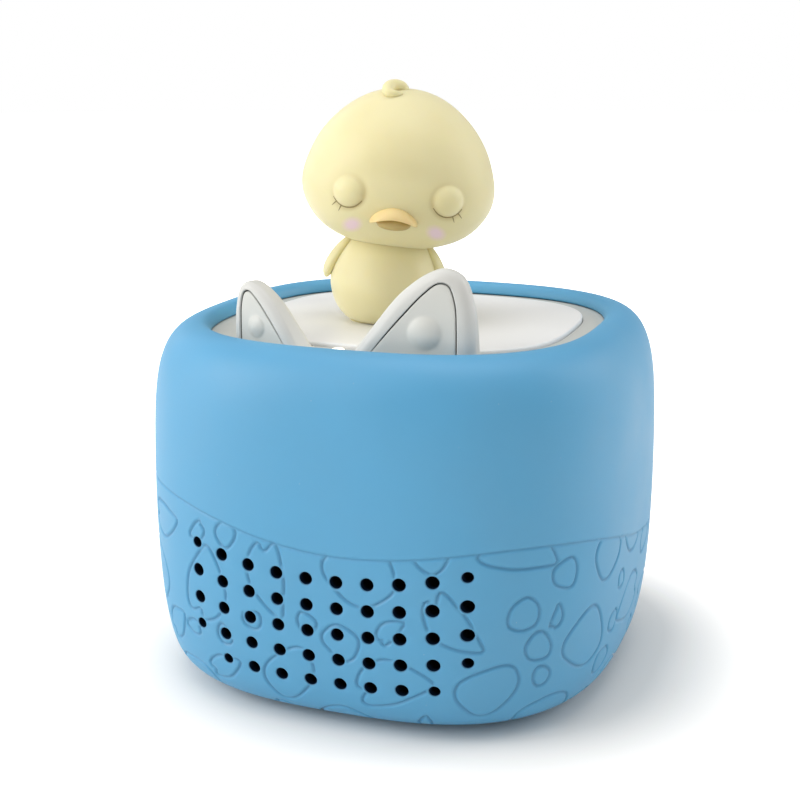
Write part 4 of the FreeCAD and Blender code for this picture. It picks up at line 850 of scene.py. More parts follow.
def placed(points, at, turn):
    """Points turned by an angle about Z and set down at a place."""
    x, y, z = np.moveaxis(np.asarray(points, float), -1, 0)
    c, s = math.cos(turn), math.sin(turn)
    return np.stack([at[0] + x * c - y * s, at[1] + x * s + y * c, at[2] + z], -1)


def stood(points, ear):
    """From the ear's own frame, which looks to -Y, to its place on the deck."""
    return placed(points * (ear["mirror"], 1, 1), (*ear["at"], DECK_Z), math.radians(ear["turn"]))


ear_plastic = finish_of("pale_grey_ear_plastic", (0.665, 0.662, 0.625), (0.712, 0.709, 0.670),
                        (0.36, 0.48), (2100.0, 0.00002), 60.0, 0.3)
# The pocket attribute turns the grey nearly black: painted shade in the gap round the key.
tinted(ear_plastic, marked(ear_plastic.node_tree, "pocket"), (0.012, 0.012, 0.012))
key_plastic = finish_of("grey_key_plastic", (0.675, 0.675, 0.625), (0.725, 0.725, 0.675),
                        (0.33, 0.45), (2100.0, 0.00002), 60.0, 0.3)
for size, ear in ears.items():
    rows, faces, dark = ear_shell_mesh(ear)
    shell = made("ear_" + size, stood(rows, ear), ear_plastic, faces, {"pocket": dark})
    handed(shell, "player", "ear_grey", "ear_" + size + "_shell")
    key = made("key_" + size, stood(key_rows(ear), ear), key_plastic)
    handed(key, size + "_ear_key", "key_grey", "ear_" + size + "_key")

# ---- Chick figure --------------------------------------------------------------------------------
# A hollow vinyl chick that stands on the plate and is lifted off it. Head, body, wings and beak
# are separate mouldings glued together. Each is a round form, sculpted by soft pushes.
SPOT, PLATE_TOP = (-8.6, -1.8), 87.2
FIGURE_TURN = math.radians(19.5)
HEAD_LEAN, BODY_LEAN = math.radians(5.9), math.radians(7.5)
HEAD_PLACE = (6.0, 1.0, 40.5)
HEAD_DEPTH = 0.86
HEAD_SIDE_LINE = [(1.2, -22.2), (14.0, -22.2), (25.4, -12.6), (23.8, -1.9), (18.9, 9.2),
                  (8.0, 16.9), (1.2, 17.0)]
BODY_SIDE_LINE = [(8.7, 0.0), (11.2, 1.6), (13.8, 7.0), (13.8, 11.0), (11.9, 16.5), (8.6, 21.0),
                  (7.6, 24.0)]
BODY_SHIFT = 0.5
EYE_SPOT, EYE_SHIFT, EYE_RADIUS, EYE_RISE = (12.0, -7.7), 0.3, 3.8, 1.7
CHEEK_SPOT, CHEEK_RADII, NO_CHEEK = (10.1, -15.7), (2.2, 1.9), 9.0
BEAK_HEIGHT = -12.7


def on_plate(points):
    """From the figure's frame, which looks to -Y, to its place on the stand plate."""
    return placed(points, (*SPOT, PLATE_TOP), FIGURE_TURN)


def leaned(points, lean):
    """Turned to the side about the figure's own front axis."""
    x, y, z = np.moveaxis(np.asarray(points, float), -1, 0)
    c, s = math.cos(lean), math.sin(lean)
    return np.stack([x * c + z * s, y, -x * s + z * c], -1)


def on_head(points):
    return on_plate(leaned(points, HEAD_LEAN) + HEAD_PLACE)


def round_form(side_line, depth, rows, columns):
    """Points and outward normals of a round form, as arrays of rows by columns."""
    line = evenly(spline(side_line, 500), 0.02)
    run = run_of(line)
    marks = np.linspace(0, run[-1], rows)
    way = np.gradient(line, run, axis=0)
    wide, high, widen, rise = (np.interp(marks, run, column)[:, None]
                               for column in (*line.T, *way.T))
    turn = np.linspace(0, 2 * np.pi, columns, endpoint=False)
    across, front = np.sin(turn), -np.cos(turn)
    points = np.stack([wide * across, depth * wide * front, high + 0 * across], 2)
    normal = np.stack([rise * across * depth, rise * front, -widen * depth + 0 * across], 2)
    return points, normal / np.linalg.norm(normal, axis=2)[:, :, None]


def bell(distance):
    """1 at 0, falling softly to 0 at 1."""
    return np.where(distance < 1, (1 - np.clip(distance, 0, 1) ** 2) ** 2, 0.0)


def sculpted_head():
    """Head points in its own frame, the cheek value and the painted shade round the eyes."""
    points, normal = round_form(HEAD_SIDE_LINE, HEAD_DEPTH, 230, 320)
    x, y, z = np.moveaxis(points, 2, 0)
    facing = np.clip(-y / 8, 0, 1)
    push = 0.6 * bell(np.hypot(x / 18, (z - 4.5) / 9)) * facing
    push -= 0.45 * bell(np.hypot(x / 19, (z + 3.8) / 5.5)) * facing
    cheek, crease_shade = np.full_like(x, NO_CHEEK), np.zeros_like(x)
    ball = (EYE_RADIUS ** 2 + EYE_RISE ** 2) / (2 * EYE_RISE)
    for side in (-1, 1):
        dx, dz = (x - EYE_SHIFT) * side - EYE_SPOT[0], z - EYE_SPOT[1]
        away = np.hypot(dx, dz)
        inner = np.clip(0.6 - 0.3 * dx / EYE_RADIUS - 0.35 * dz / EYE_RADIUS, 0, 1)
        push -= 0.4 * bell(away / 6.2) * facing
        push += facing * np.maximum(np.sqrt(np.maximum(ball ** 2 - away ** 2, 0))
                                    - ball + EYE_RISE, 0)
        # Painted shade on the inner, lower side of each eye.
        crease_shade = np.maximum(crease_shade, bell(np.abs(away - EYE_RADIUS - 0.15) / 1.1) * inner * facing)
        dx, dz = x * side - CHEEK_SPOT[0], z - CHEEK_SPOT[1]
        spot = np.hypot(dx / CHEEK_RADII[0], (dz + 0.15 * dx) / CHEEK_RADII[1])
        cheek = np.minimum(cheek, np.where(y < 0, spot, NO_CHEEK))
        push += 0.5 * bell(np.hypot((x * side - 14) / 9, (z + 15) / 6)) * facing
    return points + normal * push[:, :, None], cheek, crease_shade


vinyl = finish_of("pale_yellow_vinyl", (0.818, 0.735, 0.400), (0.862, 0.792, 0.468),
                  (0.40, 0.50), (2300.0, 0.000015), 90.0, 0.2,
                  Subsurface_Weight=0.35, Subsurface_Radius=(1.0, 0.8, 0.4),
                  Subsurface_Scale=0.004, Specular_IOR_Level=0.4, Sheen_Weight=0.2,
                  Sheen_Roughness=0.5)
tree = vinyl.node_tree
# Painted shade: round the eyes, at the foot, under the head and on the wings' tops the yellow turns
# to a darker ochre.
tinted(vinyl, calc(tree, "MULTIPLY", marked(tree, "crease_shade"), 0.5, clamp=True),
       (0.60, 0.48, 0.19))
edge_noise = node(tree, "ShaderNodeTexNoise", {"Vector": object_place(tree), "Scale": 900.0,
                                               "Detail": 2.0}).outputs["Fac"]
ragged = calc(tree, "MULTIPLY_ADD", edge_noise, 0.16, marked(tree, "from_cheek"))
tinted(vinyl, ranged(tree, ragged, 0.55, 1.35, 0.9, 0.0), (0.88, 0.67, 0.76))


def vinyl_piece(name, rows, crease_shade=0.0, cheek=NO_CHEEK):
    """A closed piece of the figure from rows of points, with its cheek and painted shade values."""
    values = {"from_cheek": cheek, "crease_shade": crease_shade}
    return made(name, rows, vinyl, values={
        key: np.broadcast_to(value, rows.shape[:2]) for key, value in values.items()})


head_rows, cheek, crease_shade = sculpted_head()
head = vinyl_piece("chick_head", on_head(head_rows), crease_shade, cheek)

# The tuft is a small curl of the same vinyl, moulded with the head.
TUFT_PATH = [(-0.6, -2.8, 15.8, 1.1), (-1.0, -2.3, 17.0, 1.5), (-2.7, -2.6, 17.5, 1.65),
             (-4.5, -4.0, 17.2, 1.65), (-5.1, -5.9, 16.3, 1.5), (-4.2, -7.2, 15.5, 1.2),
             (-2.6, -7.1, 15.5, 0.95), (-1.5, -6.2, 15.8, 0.6)]     # x, y, z, radius


def along_path(path, sides):
    """A smooth path of (x, y, z, radius), its directions, and the turn of a tube's sides."""
    path = spline([path[0], *path, path[-1]], 60)
    way = np.gradient(path[:, :3], axis=0)
    turn = np.linspace(0, 2 * np.pi, sides, endpoint=False)[:, None]
    return path, way / np.linalg.norm(way, axis=1)[:, None], turn


path, way, turn = along_path(TUFT_PATH, 24)
side = np.cross(way, (0, 0, 1))
side /= np.linalg.norm(side, axis=1)[:, None]
up = np.cross(side, way)
rows = np.array([place[:3] + place[3] * (np.cos(turn) * a + np.sin(turn) * b)
                 for place, a, b in zip(path, side, up)])
tuft = vinyl_piece("chick_tuft", on_head(rows))

points, normal = round_form(BODY_SIDE_LINE, 1.0, 90, 160)
x, y, z = np.moveaxis(points, 2, 0)
points = points + normal * (0.5 * bell(np.hypot(x / 9, (z - 8) / 7)) * (y < 0))[:, :, None]
points = leaned(points, BODY_LEAN) + (BODY_SHIFT, 0, 0)
points[:, :, 2] = np.maximum(points[:, :, 2], 0.25)
# Painted shade at the foot, where the body meets the plate, and just under the head.
low = np.clip(1 - points[:, :, 2] / 1.1, 0, 1)
neck_shade = np.clip((points[:, :, 2] - 17.5) / 4, 0, 1) * 0.6
body = vinyl_piece("chick_body", on_plate(points), np.maximum(low, neck_shade))

# Wings: flat drops that hang from the shoulders, close against the body.
WING_PATH = [(8.2, 0.4, 21.2, 1.4), (10.6, 0.3, 18.4, 2.6), (12.9, 0.1, 14.8, 3.2),
             (14.3, -0.1, 11.7, 3.0), (14.8, -0.3, 9.8, 2.1), (14.8, -0.4, 9.0, 0.8)]
wings = {}
for name, side in (("left", -1), ("right", 1)):
    path, way, turn = along_path(np.array(WING_PATH) * (side, 1, 1, 1), 32)
    rows = np.array([place[:3] + place[3] * (np.cos(turn) * (0, 1.2, 0) + np.sin(turn) * a * 0.55)
                     for place, a in zip(path, np.cross(way, (0, 1, 0)))])
    rows = leaned(rows, BODY_LEAN) + (BODY_SHIFT, 0.6, 0.0)
    # Painted shade on the wing's top, under the head.
    inner = np.clip(rows[:, :, 2] - 16, 0, 4) / 4 * 0.5
    wings[name] = vinyl_piece("chick_wing_" + name, on_plate(rows), inner)

# Beak: a pale amber upper bill over a lower one of the same amber, painted darker as shade under
# the upper bill.
BILL_FINISH = {"Subsurface_Weight": 0.2, "Subsurface_Scale": 0.0015}
upper_amber = finish_of("pale_amber_bill", (0.860, 0.640, 0.270), (0.905, 0.700, 0.340),
                        (0.38, 0.48), (2300.0, 0.000015), 150.0, 0.1, **BILL_FINISH)
# The lower bill's darker colour is painted shade.
lower_bill_shaded_amber = finish_of("lower_bill_painted_shade", (0.500, 0.375, 0.125), (0.580, 0.445, 0.170),
                        (0.42, 0.52), (2300.0, 0.000015), 150.0, 0.1, **BILL_FINISH)


def bill(half, high, out, place, droop, under):
    """A bill: half a cushion that stands out of the head, its front edge drooping."""
    turn = np.linspace(0, 2 * np.pi, 72, endpoint=False)
    rows = []
    for lift in np.linspace(0.02, 1.0, 26):
        swell = math.sqrt(1 - (1 - lift) ** 2)
        ring = np.stack([half * swell * np.cos(turn), np.full(72, -out * (1 - lift) ** 0.8),
                         high * swell * np.sin(turn)], 1)
        ring[:, 2] = np.where(ring[:, 2] < 0, ring[:, 2] * under, ring[:, 2])
        ring[:, 2] -= droop * (ring[:, 0] / half) ** 2 + 0.9 * (1 - lift) * (out / 4)
        rows.append(ring)
    return on_head(np.array(rows + [rows[-1] + (0, 2.5, 0)]) + place)


upper_bill = made("chick_upper_bill",
                  bill(5.8, 2.2, 4.2, (-0.2, -18.6, BEAK_HEIGHT + 0.7), 2.2, 0.1), upper_amber)
lower_bill = made("chick_lower_bill",
                  bill(4.2, 1.9, 3.4, (-0.2, -18.4, BEAK_HEIGHT - 0.9), 0.4, 1.0), lower_bill_shaded_amber)

# Lashes: a thin painted arc under each closed lid, with two short, even lashes.
# Each is a line on the face, turned into a fine bead by a node tree.
LASH_LINES = [
    [(-0.92, -0.46, 0.5), (-0.70, -0.76, 0.9), (-0.36, -0.97, 1.0), (0.0, -1.03, 1.0),
     (0.36, -0.97, 1.0), (0.70, -0.76, 0.9), (0.92, -0.46, 0.5)],
    [(0.72, -0.74, 0.9), (0.86, -0.90, 0.7), (0.98, -1.05, 0.3)],
    [(0.38, -0.96, 0.9), (0.46, -1.15, 0.7), (0.52, -1.32, 0.3)],
]
LASH_HALF_WIDTH = 0.17
face = BVHTree.FromPolygons(head_rows.reshape(-1, 3).tolist(), tube_faces(head_rows))
lash_points, lash_edges, lash_widths = [], [], []
for side in (-1, 1):
    for line in LASH_LINES:
        first = len(lash_points)
        for dx, dz, width in spline([line[0], *line, line[-1]], 28):
            x = side * (EYE_SPOT[0] + dx * EYE_RADIUS) + EYE_SHIFT
            z = EYE_SPOT[1] + dz * EYE_RADIUS
            hit = face.ray_cast(Vector((x, -60.0, z)), Vector((0, 1, 0)))
            lash_points.append(hit[0] + hit[1] * 0.02)
            lash_widths.append(width)
        lash_edges += [(k, k + 1) for k in range(first, len(lash_points) - 1)]


def growing_tree(name, material, inputs, build):
    """A node tree with named inputs. What build makes of them is made real and painted."""
    tree = bpy.data.node_groups.new(name, "GeometryNodeTree")
    for key, kind in {"Geometry": "Geometry", **inputs}.items():
        tree.interface.new_socket(key, in_out="INPUT", socket_type="NodeSocket" + kind)
    tree.interface.new_socket("Geometry", in_out="OUTPUT", socket_type="NodeSocketGeometry")
    result = build(tree, tree.nodes.new("NodeGroupInput").outputs)
    real = node(tree, "GeometryNodeRealizeInstances", {"Geometry": result.outputs[0]})
    painted = node(tree, "GeometryNodeSetMaterial", {"Geometry": real.outputs[0],
                                                     "Material": material})
    node(tree, "NodeGroupOutput", {"Geometry": painted.outputs[0]})
    return tree


def beads(tree, given):
    """Lines turned into fine beads, as wide as their own widths say."""
    width = node(tree, "GeometryNodeInputNamedAttribute", {"Name": "width"}).outputs["Attribute"]
    curve = node(tree, "GeometryNodeMeshToCurve", {"Mesh": given["Geometry"]})
    radius = calc(tree, "MULTIPLY", width, given["Half width"])
    sized = node(tree, "GeometryNodeSetCurveRadius", {"Curve": curve.outputs[0],
                                                      "Radius": radius})
    ring = node(tree, "GeometryNodeCurvePrimitiveCircle", {"Resolution": given["Sides"],
                                                           "Radius": 1.0})
    links = {"Curve": sized.outputs[0], "Profile Curve": ring.outputs[0], "Fill Caps": True}
    bead = node(tree, "GeometryNodeCurveToMesh", links)
    if "Scale" in bead.inputs:
        tree.links.new(node(tree, "GeometryNodeInputRadius").outputs[0], bead.inputs["Scale"])
    return bead


def grown(name, mesh, tree, settings, material):
    """The mesh that a node tree makes of a plain one, as a piece of its own."""
    holder = shown(name + "_plan", mesh)
    work = holder.modifiers.new("grow", "NODES")
    work.node_group = tree
    for item in tree.interface.items_tree:
        if item.item_type == "SOCKET" and item.in_out == "INPUT" and item.name in settings:
            work[item.identifier] = settings[item.name]
    graph = bpy.context.evaluated_depsgraph_get()
    result = bpy.data.meshes.new_from_object(holder.evaluated_get(graph))
    bpy.data.objects.remove(holder)
    result.name = name
    result.materials.clear()
    result.materials.append(material)
    result.shade_smooth()
    return shown(name, result)


lash_paint = finish_of("olive_brown_lash_paint", (0.290, 0.225, 0.085), (0.350, 0.280, 0.110),
                       (0.42, 0.52), (3000.0, 0.00001), 300.0, 0.05)
plan = bpy.data.meshes.new("lash_plan")
plan.from_pydata([Vector(place) * MM for place in on_head(np.array(lash_points))], lash_edges, [])
plan.attributes.new("width", "FLOAT", "POINT").data.foreach_set("value", lash_widths)
lashes = grown("chick_lashes", plan,
               growing_tree("lash_beads", lash_paint, {"Half width": "Float", "Sides": "Int"},
                            beads),
               {"Half width": LASH_HALF_WIDTH * MM, "Sides": 8}, lash_paint)
for piece, slot, stands_for in (
        (head, "figure_yellow", ["figure_head"]), (body, "figure_yellow", ["figure_body"]),
        (wings["left"], "figure_yellow", ["figure_wing_left"]),
        (wings["right"], "figure_yellow", ["figure_wing_right"]),
        (upper_bill, "beak_amber", ["figure_beak"]), (lower_bill, "beak_amber", []),
        (tuft, "figure_yellow", []), (lashes, "figure_yellow", [])):
    handed(piece, "figure", slot, *stands_for)

# ---- Power button --------------------------------------------------------------------------------
# A white moulded cap with a dished face, which slides through the dark panel at the back. Its
# flange stops it from behind.
PANEL_Y = 56.0
PORT_AXIS_Z = 26.1
BUTTON_X, BUTTON_PROUD, BUTTON_BACK = 14.5, 0.8, 4.2
BUTTON_CUT_Z = 23.4                 # the board under the flange is cleared by this flat
BUTTON_PROFILE = [(1e-4, 0.62), (1.0, 0.58), (1.9, 0.42), (2.5, 0.22), (2.85, 0.06),
                  (3.05, 0.0), (3.3, 0.02), (3.6, 0.12), (3.82, 0.28), (3.95, 0.48), (4.0, 0.72),
                  (4.0, 0.9), (4.0, BUTTON_PROUD + 3.1),
                  (4.9, BUTTON_PROUD + 3.1), (4.9, BUTTON_PROUD + BUTTON_BACK), (1e-4, 5.0)]
rows = turned(BUTTON_PROFILE, 72) * (1, -1, 1) + (BUTTON_X, PANEL_Y + BUTTON_PROUD, PORT_AXIS_Z)
rows[:, :, 2] = np.where(rows[:, :, 1] < PANEL_Y - 3.0,
                         np.maximum(rows[:, :, 2], BUTTON_CUT_Z + 0.1), rows[:, :, 2])
button_plastic = finish_of("white_button_plastic", (0.600, 0.605, 0.590), (0.660, 0.665, 0.650),
                           (0.34, 0.46), (2200.0, 0.00002), 120.0, 0.3)
button = made("power_cap", rows, button_plastic, tube_faces(rows, False))
handed(button, "power_key", "power_white", "power_button")

# ---- Headphone jack ------------------------------------------------------------------------------
# A black moulded block on the port board, whose barrel reaches through the panel. A sprung and
# gilded contact ring lies in its bore.
BARREL_RADIUS, BARREL_BORE, JACK_LENGTH = 2.9, 1.8, 14.0
BARREL_PROFILE = [(BARREL_BORE, JACK_LENGTH - 0.02), (BARREL_BORE, 1.6), (BARREL_BORE + 0.12, 1.5),
                  (BARREL_BORE + 0.12, 0.9), (BARREL_BORE, 0.8), (BARREL_BORE, 0.45),
                  (BARREL_BORE + 0.14, 0.16), (BARREL_BORE + 0.4, 0.03), (BARREL_RADIUS - 0.2, 0.0),
                  (BARREL_RADIUS - 0.05, 0.06), (BARREL_RADIUS, 0.2), (BARREL_RADIUS, 3.6),
                  (BARREL_RADIUS, JACK_LENGTH - 0.02), (BARREL_BORE, JACK_LENGTH - 0.02)]
CONTACT_PROFILE = [(BARREL_BORE + 0.1, 1.48), (BARREL_BORE + 0.1, 0.92), (BARREL_BORE - 0.02, 0.98),
                   (BARREL_BORE - 0.06, 1.2), (BARREL_BORE - 0.02, 1.42),
                   (BARREL_BORE + 0.1, 1.48)]
jack_plastic = finish_of("black_jack_plastic", (0.008, 0.008, 0.009), (0.018, 0.018, 0.020),
                         (0.35, 0.5), (2200.0, 0.00003), 150.0, 0.15)
gilding = finish_of("gilded_contacts", (0.78, 0.52, 0.20), (0.92, 0.66, 0.30), (0.22, 0.36),
                    (3200.0, 0.00001), 300.0, 0.1, Metallic=1.0)
for name, profile, sides, material, slot in (
        ("jack_barrel", BARREL_PROFILE, 64, jack_plastic, "housing_dark"),
        ("jack_contact", CONTACT_PROFILE, 48, gilding, "copper")):
    rows = turned(profile, sides) * (1, -1, 1) + (0, PANEL_Y, PORT_AXIS_Z)
    handed(made(name, rows, material, tube_faces(rows, False)), "player", slot)
dress(jack_plastic, "headphone_jack")

# ---- Charging socket -----------------------------------------------------------------------------
# A rolled steel shell on the port board, round a black moulded tongue with gilded pads. A dark
# moulded collar closes the gap to the panel.
SOCKET_X, SOCKET_Z, SOCKET_LENGTH = -14.5, 24.8, 7.4
SOCKET_HALF, SOCKET_ROUND, TONGUE_HALF = (4.47, 1.6), 1.6, (3.3, 0.35)


def oval_row(half_x, half_z, radius, deep, count=16, lift=0.0):
    """A rounded oblong that lies deep in the panel, round the socket's axis."""
    out = []
    for quarter, (sx, sz) in enumerate(((1, 1), (-1, 1), (-1, -1), (1, -1))):
        for turn in math.pi / 2 * (quarter + np.linspace(0, 1, count)):
            out.append((SOCKET_X + sx * (half_x - radius) + radius * math.cos(turn),
                        PANEL_Y - deep,
                        SOCKET_Z + lift + sz * (half_z - radius) + radius * math.sin(turn)))
    return out


shell_steel = finish_of("rolled_steel", (0.56, 0.57, 0.58), (0.70, 0.71, 0.72), (0.24, 0.38),
                        (2600.0, 0.00001), 260.0, 0.1, Metallic=1.0)
socket_rows = [oval_row(SOCKET_HALF[0] - shrink, SOCKET_HALF[1] - shrink, SOCKET_ROUND - shrink,
                        deep)
               for shrink, deep in ((0.3, SOCKET_LENGTH - 1.0), (0.3, 0.45), (0.27, 0.16),
                                    (0.17, 0.02), (0.05, 0.0), (0.0, 0.08), (0.0, 0.5),
                                    (0.0, SOCKET_LENGTH))]
tongue_rows = [oval_row(TONGUE_HALF[0] - shrink, TONGUE_HALF[1] - shrink, 0.2, deep, 6)
               for shrink, deep in ((0.0, SOCKET_LENGTH - 1.1), (0.0, 1.5), (0.03, 1.28),
                                    (0.12, 1.2))]
collar_rows = [oval_row(half_x, half_z, radius, deep, lift=0.02)
               for half_x, half_z, radius, deep in (
                   (4.48, 1.61, 1.6, 2.6), (4.48, 1.61, 1.6, 0.3), (4.52, 1.65, 1.6, 0.12),
                   (4.62, 1.72, 0.4, 0.05), (4.76, 1.84, 0.06, 0.05), (4.76, 1.84, 0.06, 2.6),
                   (4.48, 1.61, 1.6, 2.6))]
handed(made("socket_shell", np.array(socket_rows), shell_steel), "player", "steel", "charge_socket")
handed(made("socket_tongue", np.array(tongue_rows), jack_plastic), "player", "housing_dark")
handed(made("socket_collar", collar_rows, dark_plastic,
            tube_faces(np.array(collar_rows), False)), "player", "housing_dark")


def copies(tree, given):
    """A copy of a shape on each point."""
    points = node(tree, "GeometryNodeMeshToPoints", {"Mesh": given["Geometry"]})
    shape = node(tree, "GeometryNodeObjectInfo", {"Object": given["Shape"]})
    return node(tree, "GeometryNodeInstanceOnPoints", {
        "Points": points.outputs[0], "Instance": shape.outputs["Geometry"],
        "Scale": given["Scale"]})


def copied(name, rows, places, material, caps=False):
    """One mesh with a copy of a form on each place, made by a node tree."""
    shape = made(name + "_one", rows, material, tube_faces(np.array(rows), caps))
    plan = bpy.data.meshes.new(name + "_places")
    plan.from_pydata([Vector(place) * MM for place in places], [], [])
    tree = growing_tree(name + "_copies", material, {"Shape": "Object", "Scale": "Float"}, copies)
    piece = grown(name, plan, tree, {"Shape": shape, "Scale": 1.0}, material)
    bpy.data.objects.remove(shape)
    return piece


PAD_HALF, PAD_PITCH, PADS = (0.14, 1.3), 0.5, 10
pad_rows = [[(sx * (PAD_HALF[0] - shrink), sy * (PAD_HALF[1] - shrink), lift)
             for sx, sy in ((-1, -1), (1, -1), (1, 1), (-1, 1))]
            for shrink, lift in ((0.0, -0.02), (0.0, 0.02), (0.04, 0.04))]
pads = copied("socket_pads", pad_rows,
              [(SOCKET_X + (k - (PADS - 1) / 2) * PAD_PITCH, PANEL_Y - 3.1,
                SOCKET_Z + TONGUE_HALF[1]) for k in range(PADS)], gilding, caps=True)
handed(pads, "player", "copper")

# ---- Feet ----------------------------------------------------------------------------------------
# Four rubber feet are pressed on the base plate: round pads with a softened edge and ring-shaped
# ribs against sliding.
FOOT_HEIGHT, FOOT_SPREAD = 3.65, 25.0
RIB_PITCH, RIB_DEPTH = 1.3, 0.35
foot_profile = [(1e-3, 0.0)]
for k in range(4):
    edge = 0.55 + k * RIB_PITCH
    foot_profile += [(edge, 0.0), (edge + 0.14, 0.12), (edge + 0.26, RIB_DEPTH),
                     (edge + 0.52, RIB_DEPTH), (edge + 0.64, 0.12), (edge + 0.78, 0.0)]
foot_profile += [(5.75, 0.0), (6.15, 0.12), (6.4, 0.4), (6.5, 0.85), (6.5, 2.8),
                 (6.42, 3.2), (6.42, FOOT_HEIGHT), (1e-3, FOOT_HEIGHT)]
rubber = finish_of("dark_rubber", (0.014, 0.014, 0.016), (0.028, 0.028, 0.030), (0.68, 0.85),
                   (1700.0, 0.00006), 120.0, 0.6)


def corners_of(spread):
    return [(sx * spread, sy * spread, 0.0) for sx in (-1, 1) for sy in (-1, 1)]


feet = copied("rubber_feet", turned(foot_profile, 72)[:, :, [0, 2, 1]], corners_of(FOOT_SPREAD),
              rubber)
handed(feet, "player", "rubber_dark", "feet")

# ---- Underside screws ----------------------------------------------------------------------------
# Four zinc-plated steel screws with a pan head and a cross recess hold the base plate. They sit
# in wells beside the feet.
SCREW_SPREAD, SCREW_SEAT, SCREW_HEAD, SCREW_HEAD_RADIUS = 36.0, 7.5, 1.6, 2.4
SCREW_RADIUS, SCREW_LENGTH, THREAD_PITCH, THREAD_DEPTH = 1.2, 10.0, 0.8, 0.3
SIDES = 48
angle = np.linspace(0, 2 * np.pi, SIDES, endpoint=False)
cross = 0.42 + 0.95 * np.clip(np.cos(2 * angle) ** 2 * 1.35 - 0.35, 0, 1)
top = SCREW_SEAT - SCREW_HEAD
screw_profile = [(1e-3, top + 1.15), (cross * 0.35, top + 1.05), (cross * 0.72, top + 0.85),
                 (cross * 0.96, top + 0.12), (cross + 0.04, top + 0.02), (1.62, top + 0.02),
                 (1.95, top + 0.1), (2.2, top + 0.3), (SCREW_HEAD_RADIUS - 0.04, top + 0.62),
                 (SCREW_HEAD_RADIUS, top + 1.0), (SCREW_HEAD_RADIUS, SCREW_SEAT),
                 (SCREW_RADIUS - 0.05, SCREW_SEAT)]
steps = int(SCREW_LENGTH / THREAD_PITCH * 5)
for k in range(1, steps + 1):
    z = SCREW_SEAT + SCREW_LENGTH * k / steps
    phase = (z / THREAD_PITCH - angle / (2 * np.pi)) % 1.0
    taper = min(1.0, (SCREW_SEAT + SCREW_LENGTH - z) / 1.5 + 0.35)
    screw_profile.append((taper * (SCREW_RADIUS - THREAD_DEPTH * np.abs(2 * phase - 1)), z))
screw_profile.append((1e-3, SCREW_SEAT + SCREW_LENGTH))
screw_steel = finish_of("zinc_plated_steel", (0.50, 0.50, 0.48), (0.66, 0.66, 0.64), (0.26, 0.42),
                        (2400.0, 0.00002), 300.0, 0.15, Metallic=1.0)
screws = copied("underside_screws", turned(screw_profile, SIDES)[:, :, [0, 2, 1]],
                corners_of(SCREW_SPREAD), screw_steel)
handed(screws, "player", "screw_steel", "base_screws")
dress(screw_steel, "bezel_screws", "board_screws", "speaker_screws")

# ---- Circuit boards ------------------------------------------------------------------------------
# Glass-fibre boards under green solder mask: copper tracks show through it as paler lines.
# Chips, shields, headers, switches and plungers are fitted on them.
def dressed(pieces, *look, **shader):
    """Gives CAD pieces, named in one line, a finish of their own."""
    dress(finish_of(*look, **shader), *pieces.split())


solder_mask = finish_of("green_circuit_board", (0.012, 0.085, 0.035), (0.015, 0.10625, 0.04375),
                        (0.30, 0.42), (1500.0, 0.00001), 90.0, 0.1, Coat_Weight=0.25)
tree = solder_mask.node_tree
tracks = node(tree, "ShaderNodeTexVoronoi", {"Vector": object_place(tree), "Scale": 260.0},
              feature="DISTANCE_TO_EDGE", distance="EUCLIDEAN").outputs["Distance"]
tinted(solder_mask, ranged(tree, tracks, 0.05, 0.09, 0.85, 0.0), (0.045, 0.20, 0.075))
dress(solder_mask, "main_board", "port_board", "ear_large_board", "ear_small_board",
      "indicator_board", "aerial_board")
dressed("board_chips", "black_chip_epoxy", (0.012, 0.012, 0.013), (0.026, 0.026, 0.028),
        (0.5, 0.62), (4200.0, 0.00002), 400.0, 0.1)
dressed("radio_module", "tinned_shield", (0.58, 0.57, 0.55), (0.72, 0.71, 0.69), (0.24, 0.4),
        (900.0, 0.00002), 240.0, 0.1, Metallic=1.0)
dressed("board_headers", "ivory_header_nylon", (0.68, 0.65, 0.56), (0.76, 0.73, 0.64),
        (0.4, 0.55), (2600.0, 0.00002), 240.0, 0.1)
dressed("ear_large_switch ear_small_switch power_switch", "black_switch_plastic",
        (0.012, 0.012, 0.012), (0.030, 0.030, 0.030), (0.4, 0.55), (2800.0, 0.00002), 300.0, 0.1)
dressed("indicator_led", "clear_diode_resin", (0.85, 0.78, 0.45), (0.92, 0.86, 0.55),
        (0.12, 0.22), (1800.0, 0.00001), 300.0, 0.0, Transmission_Weight=0.4)
dressed("ear_large_plunger ear_small_plunger power_plunger", "white_acetal", (0.70, 0.70, 0.67),
        (0.78, 0.78, 0.75), (0.35, 0.48), (2400.0, 0.00002), 200.0, 0.1)

# ---- Battery and wiring -----------------------------------------------------------------------
# One cell in a shrunk blue film lies in its cradle under a sprung steel strap. The leads run in
# red PVC sleeving.
dressed("battery_cell", "cyan_cell_wrap", (0.020, 0.190, 0.330), (0.030, 0.240, 0.400),
        (0.22, 0.34), (700.0, 0.00004), 60.0, 0.1, Coat_Weight=0.3)
dressed("battery_strap", "sprung_strap_steel", (0.50, 0.51, 0.52), (0.64, 0.65, 0.66),
        (0.28, 0.42), (2400.0, 0.00002), 160.0, 0.1, Metallic=1.0)
dressed("battery_lead port_lead speaker_lead deck_leads aerial_lead", "red_lead_sleeving",
        (0.420, 0.018, 0.014), (0.520, 0.030, 0.022), (0.3, 0.42), (2600.0, 0.00003), 260.0, 0.1)

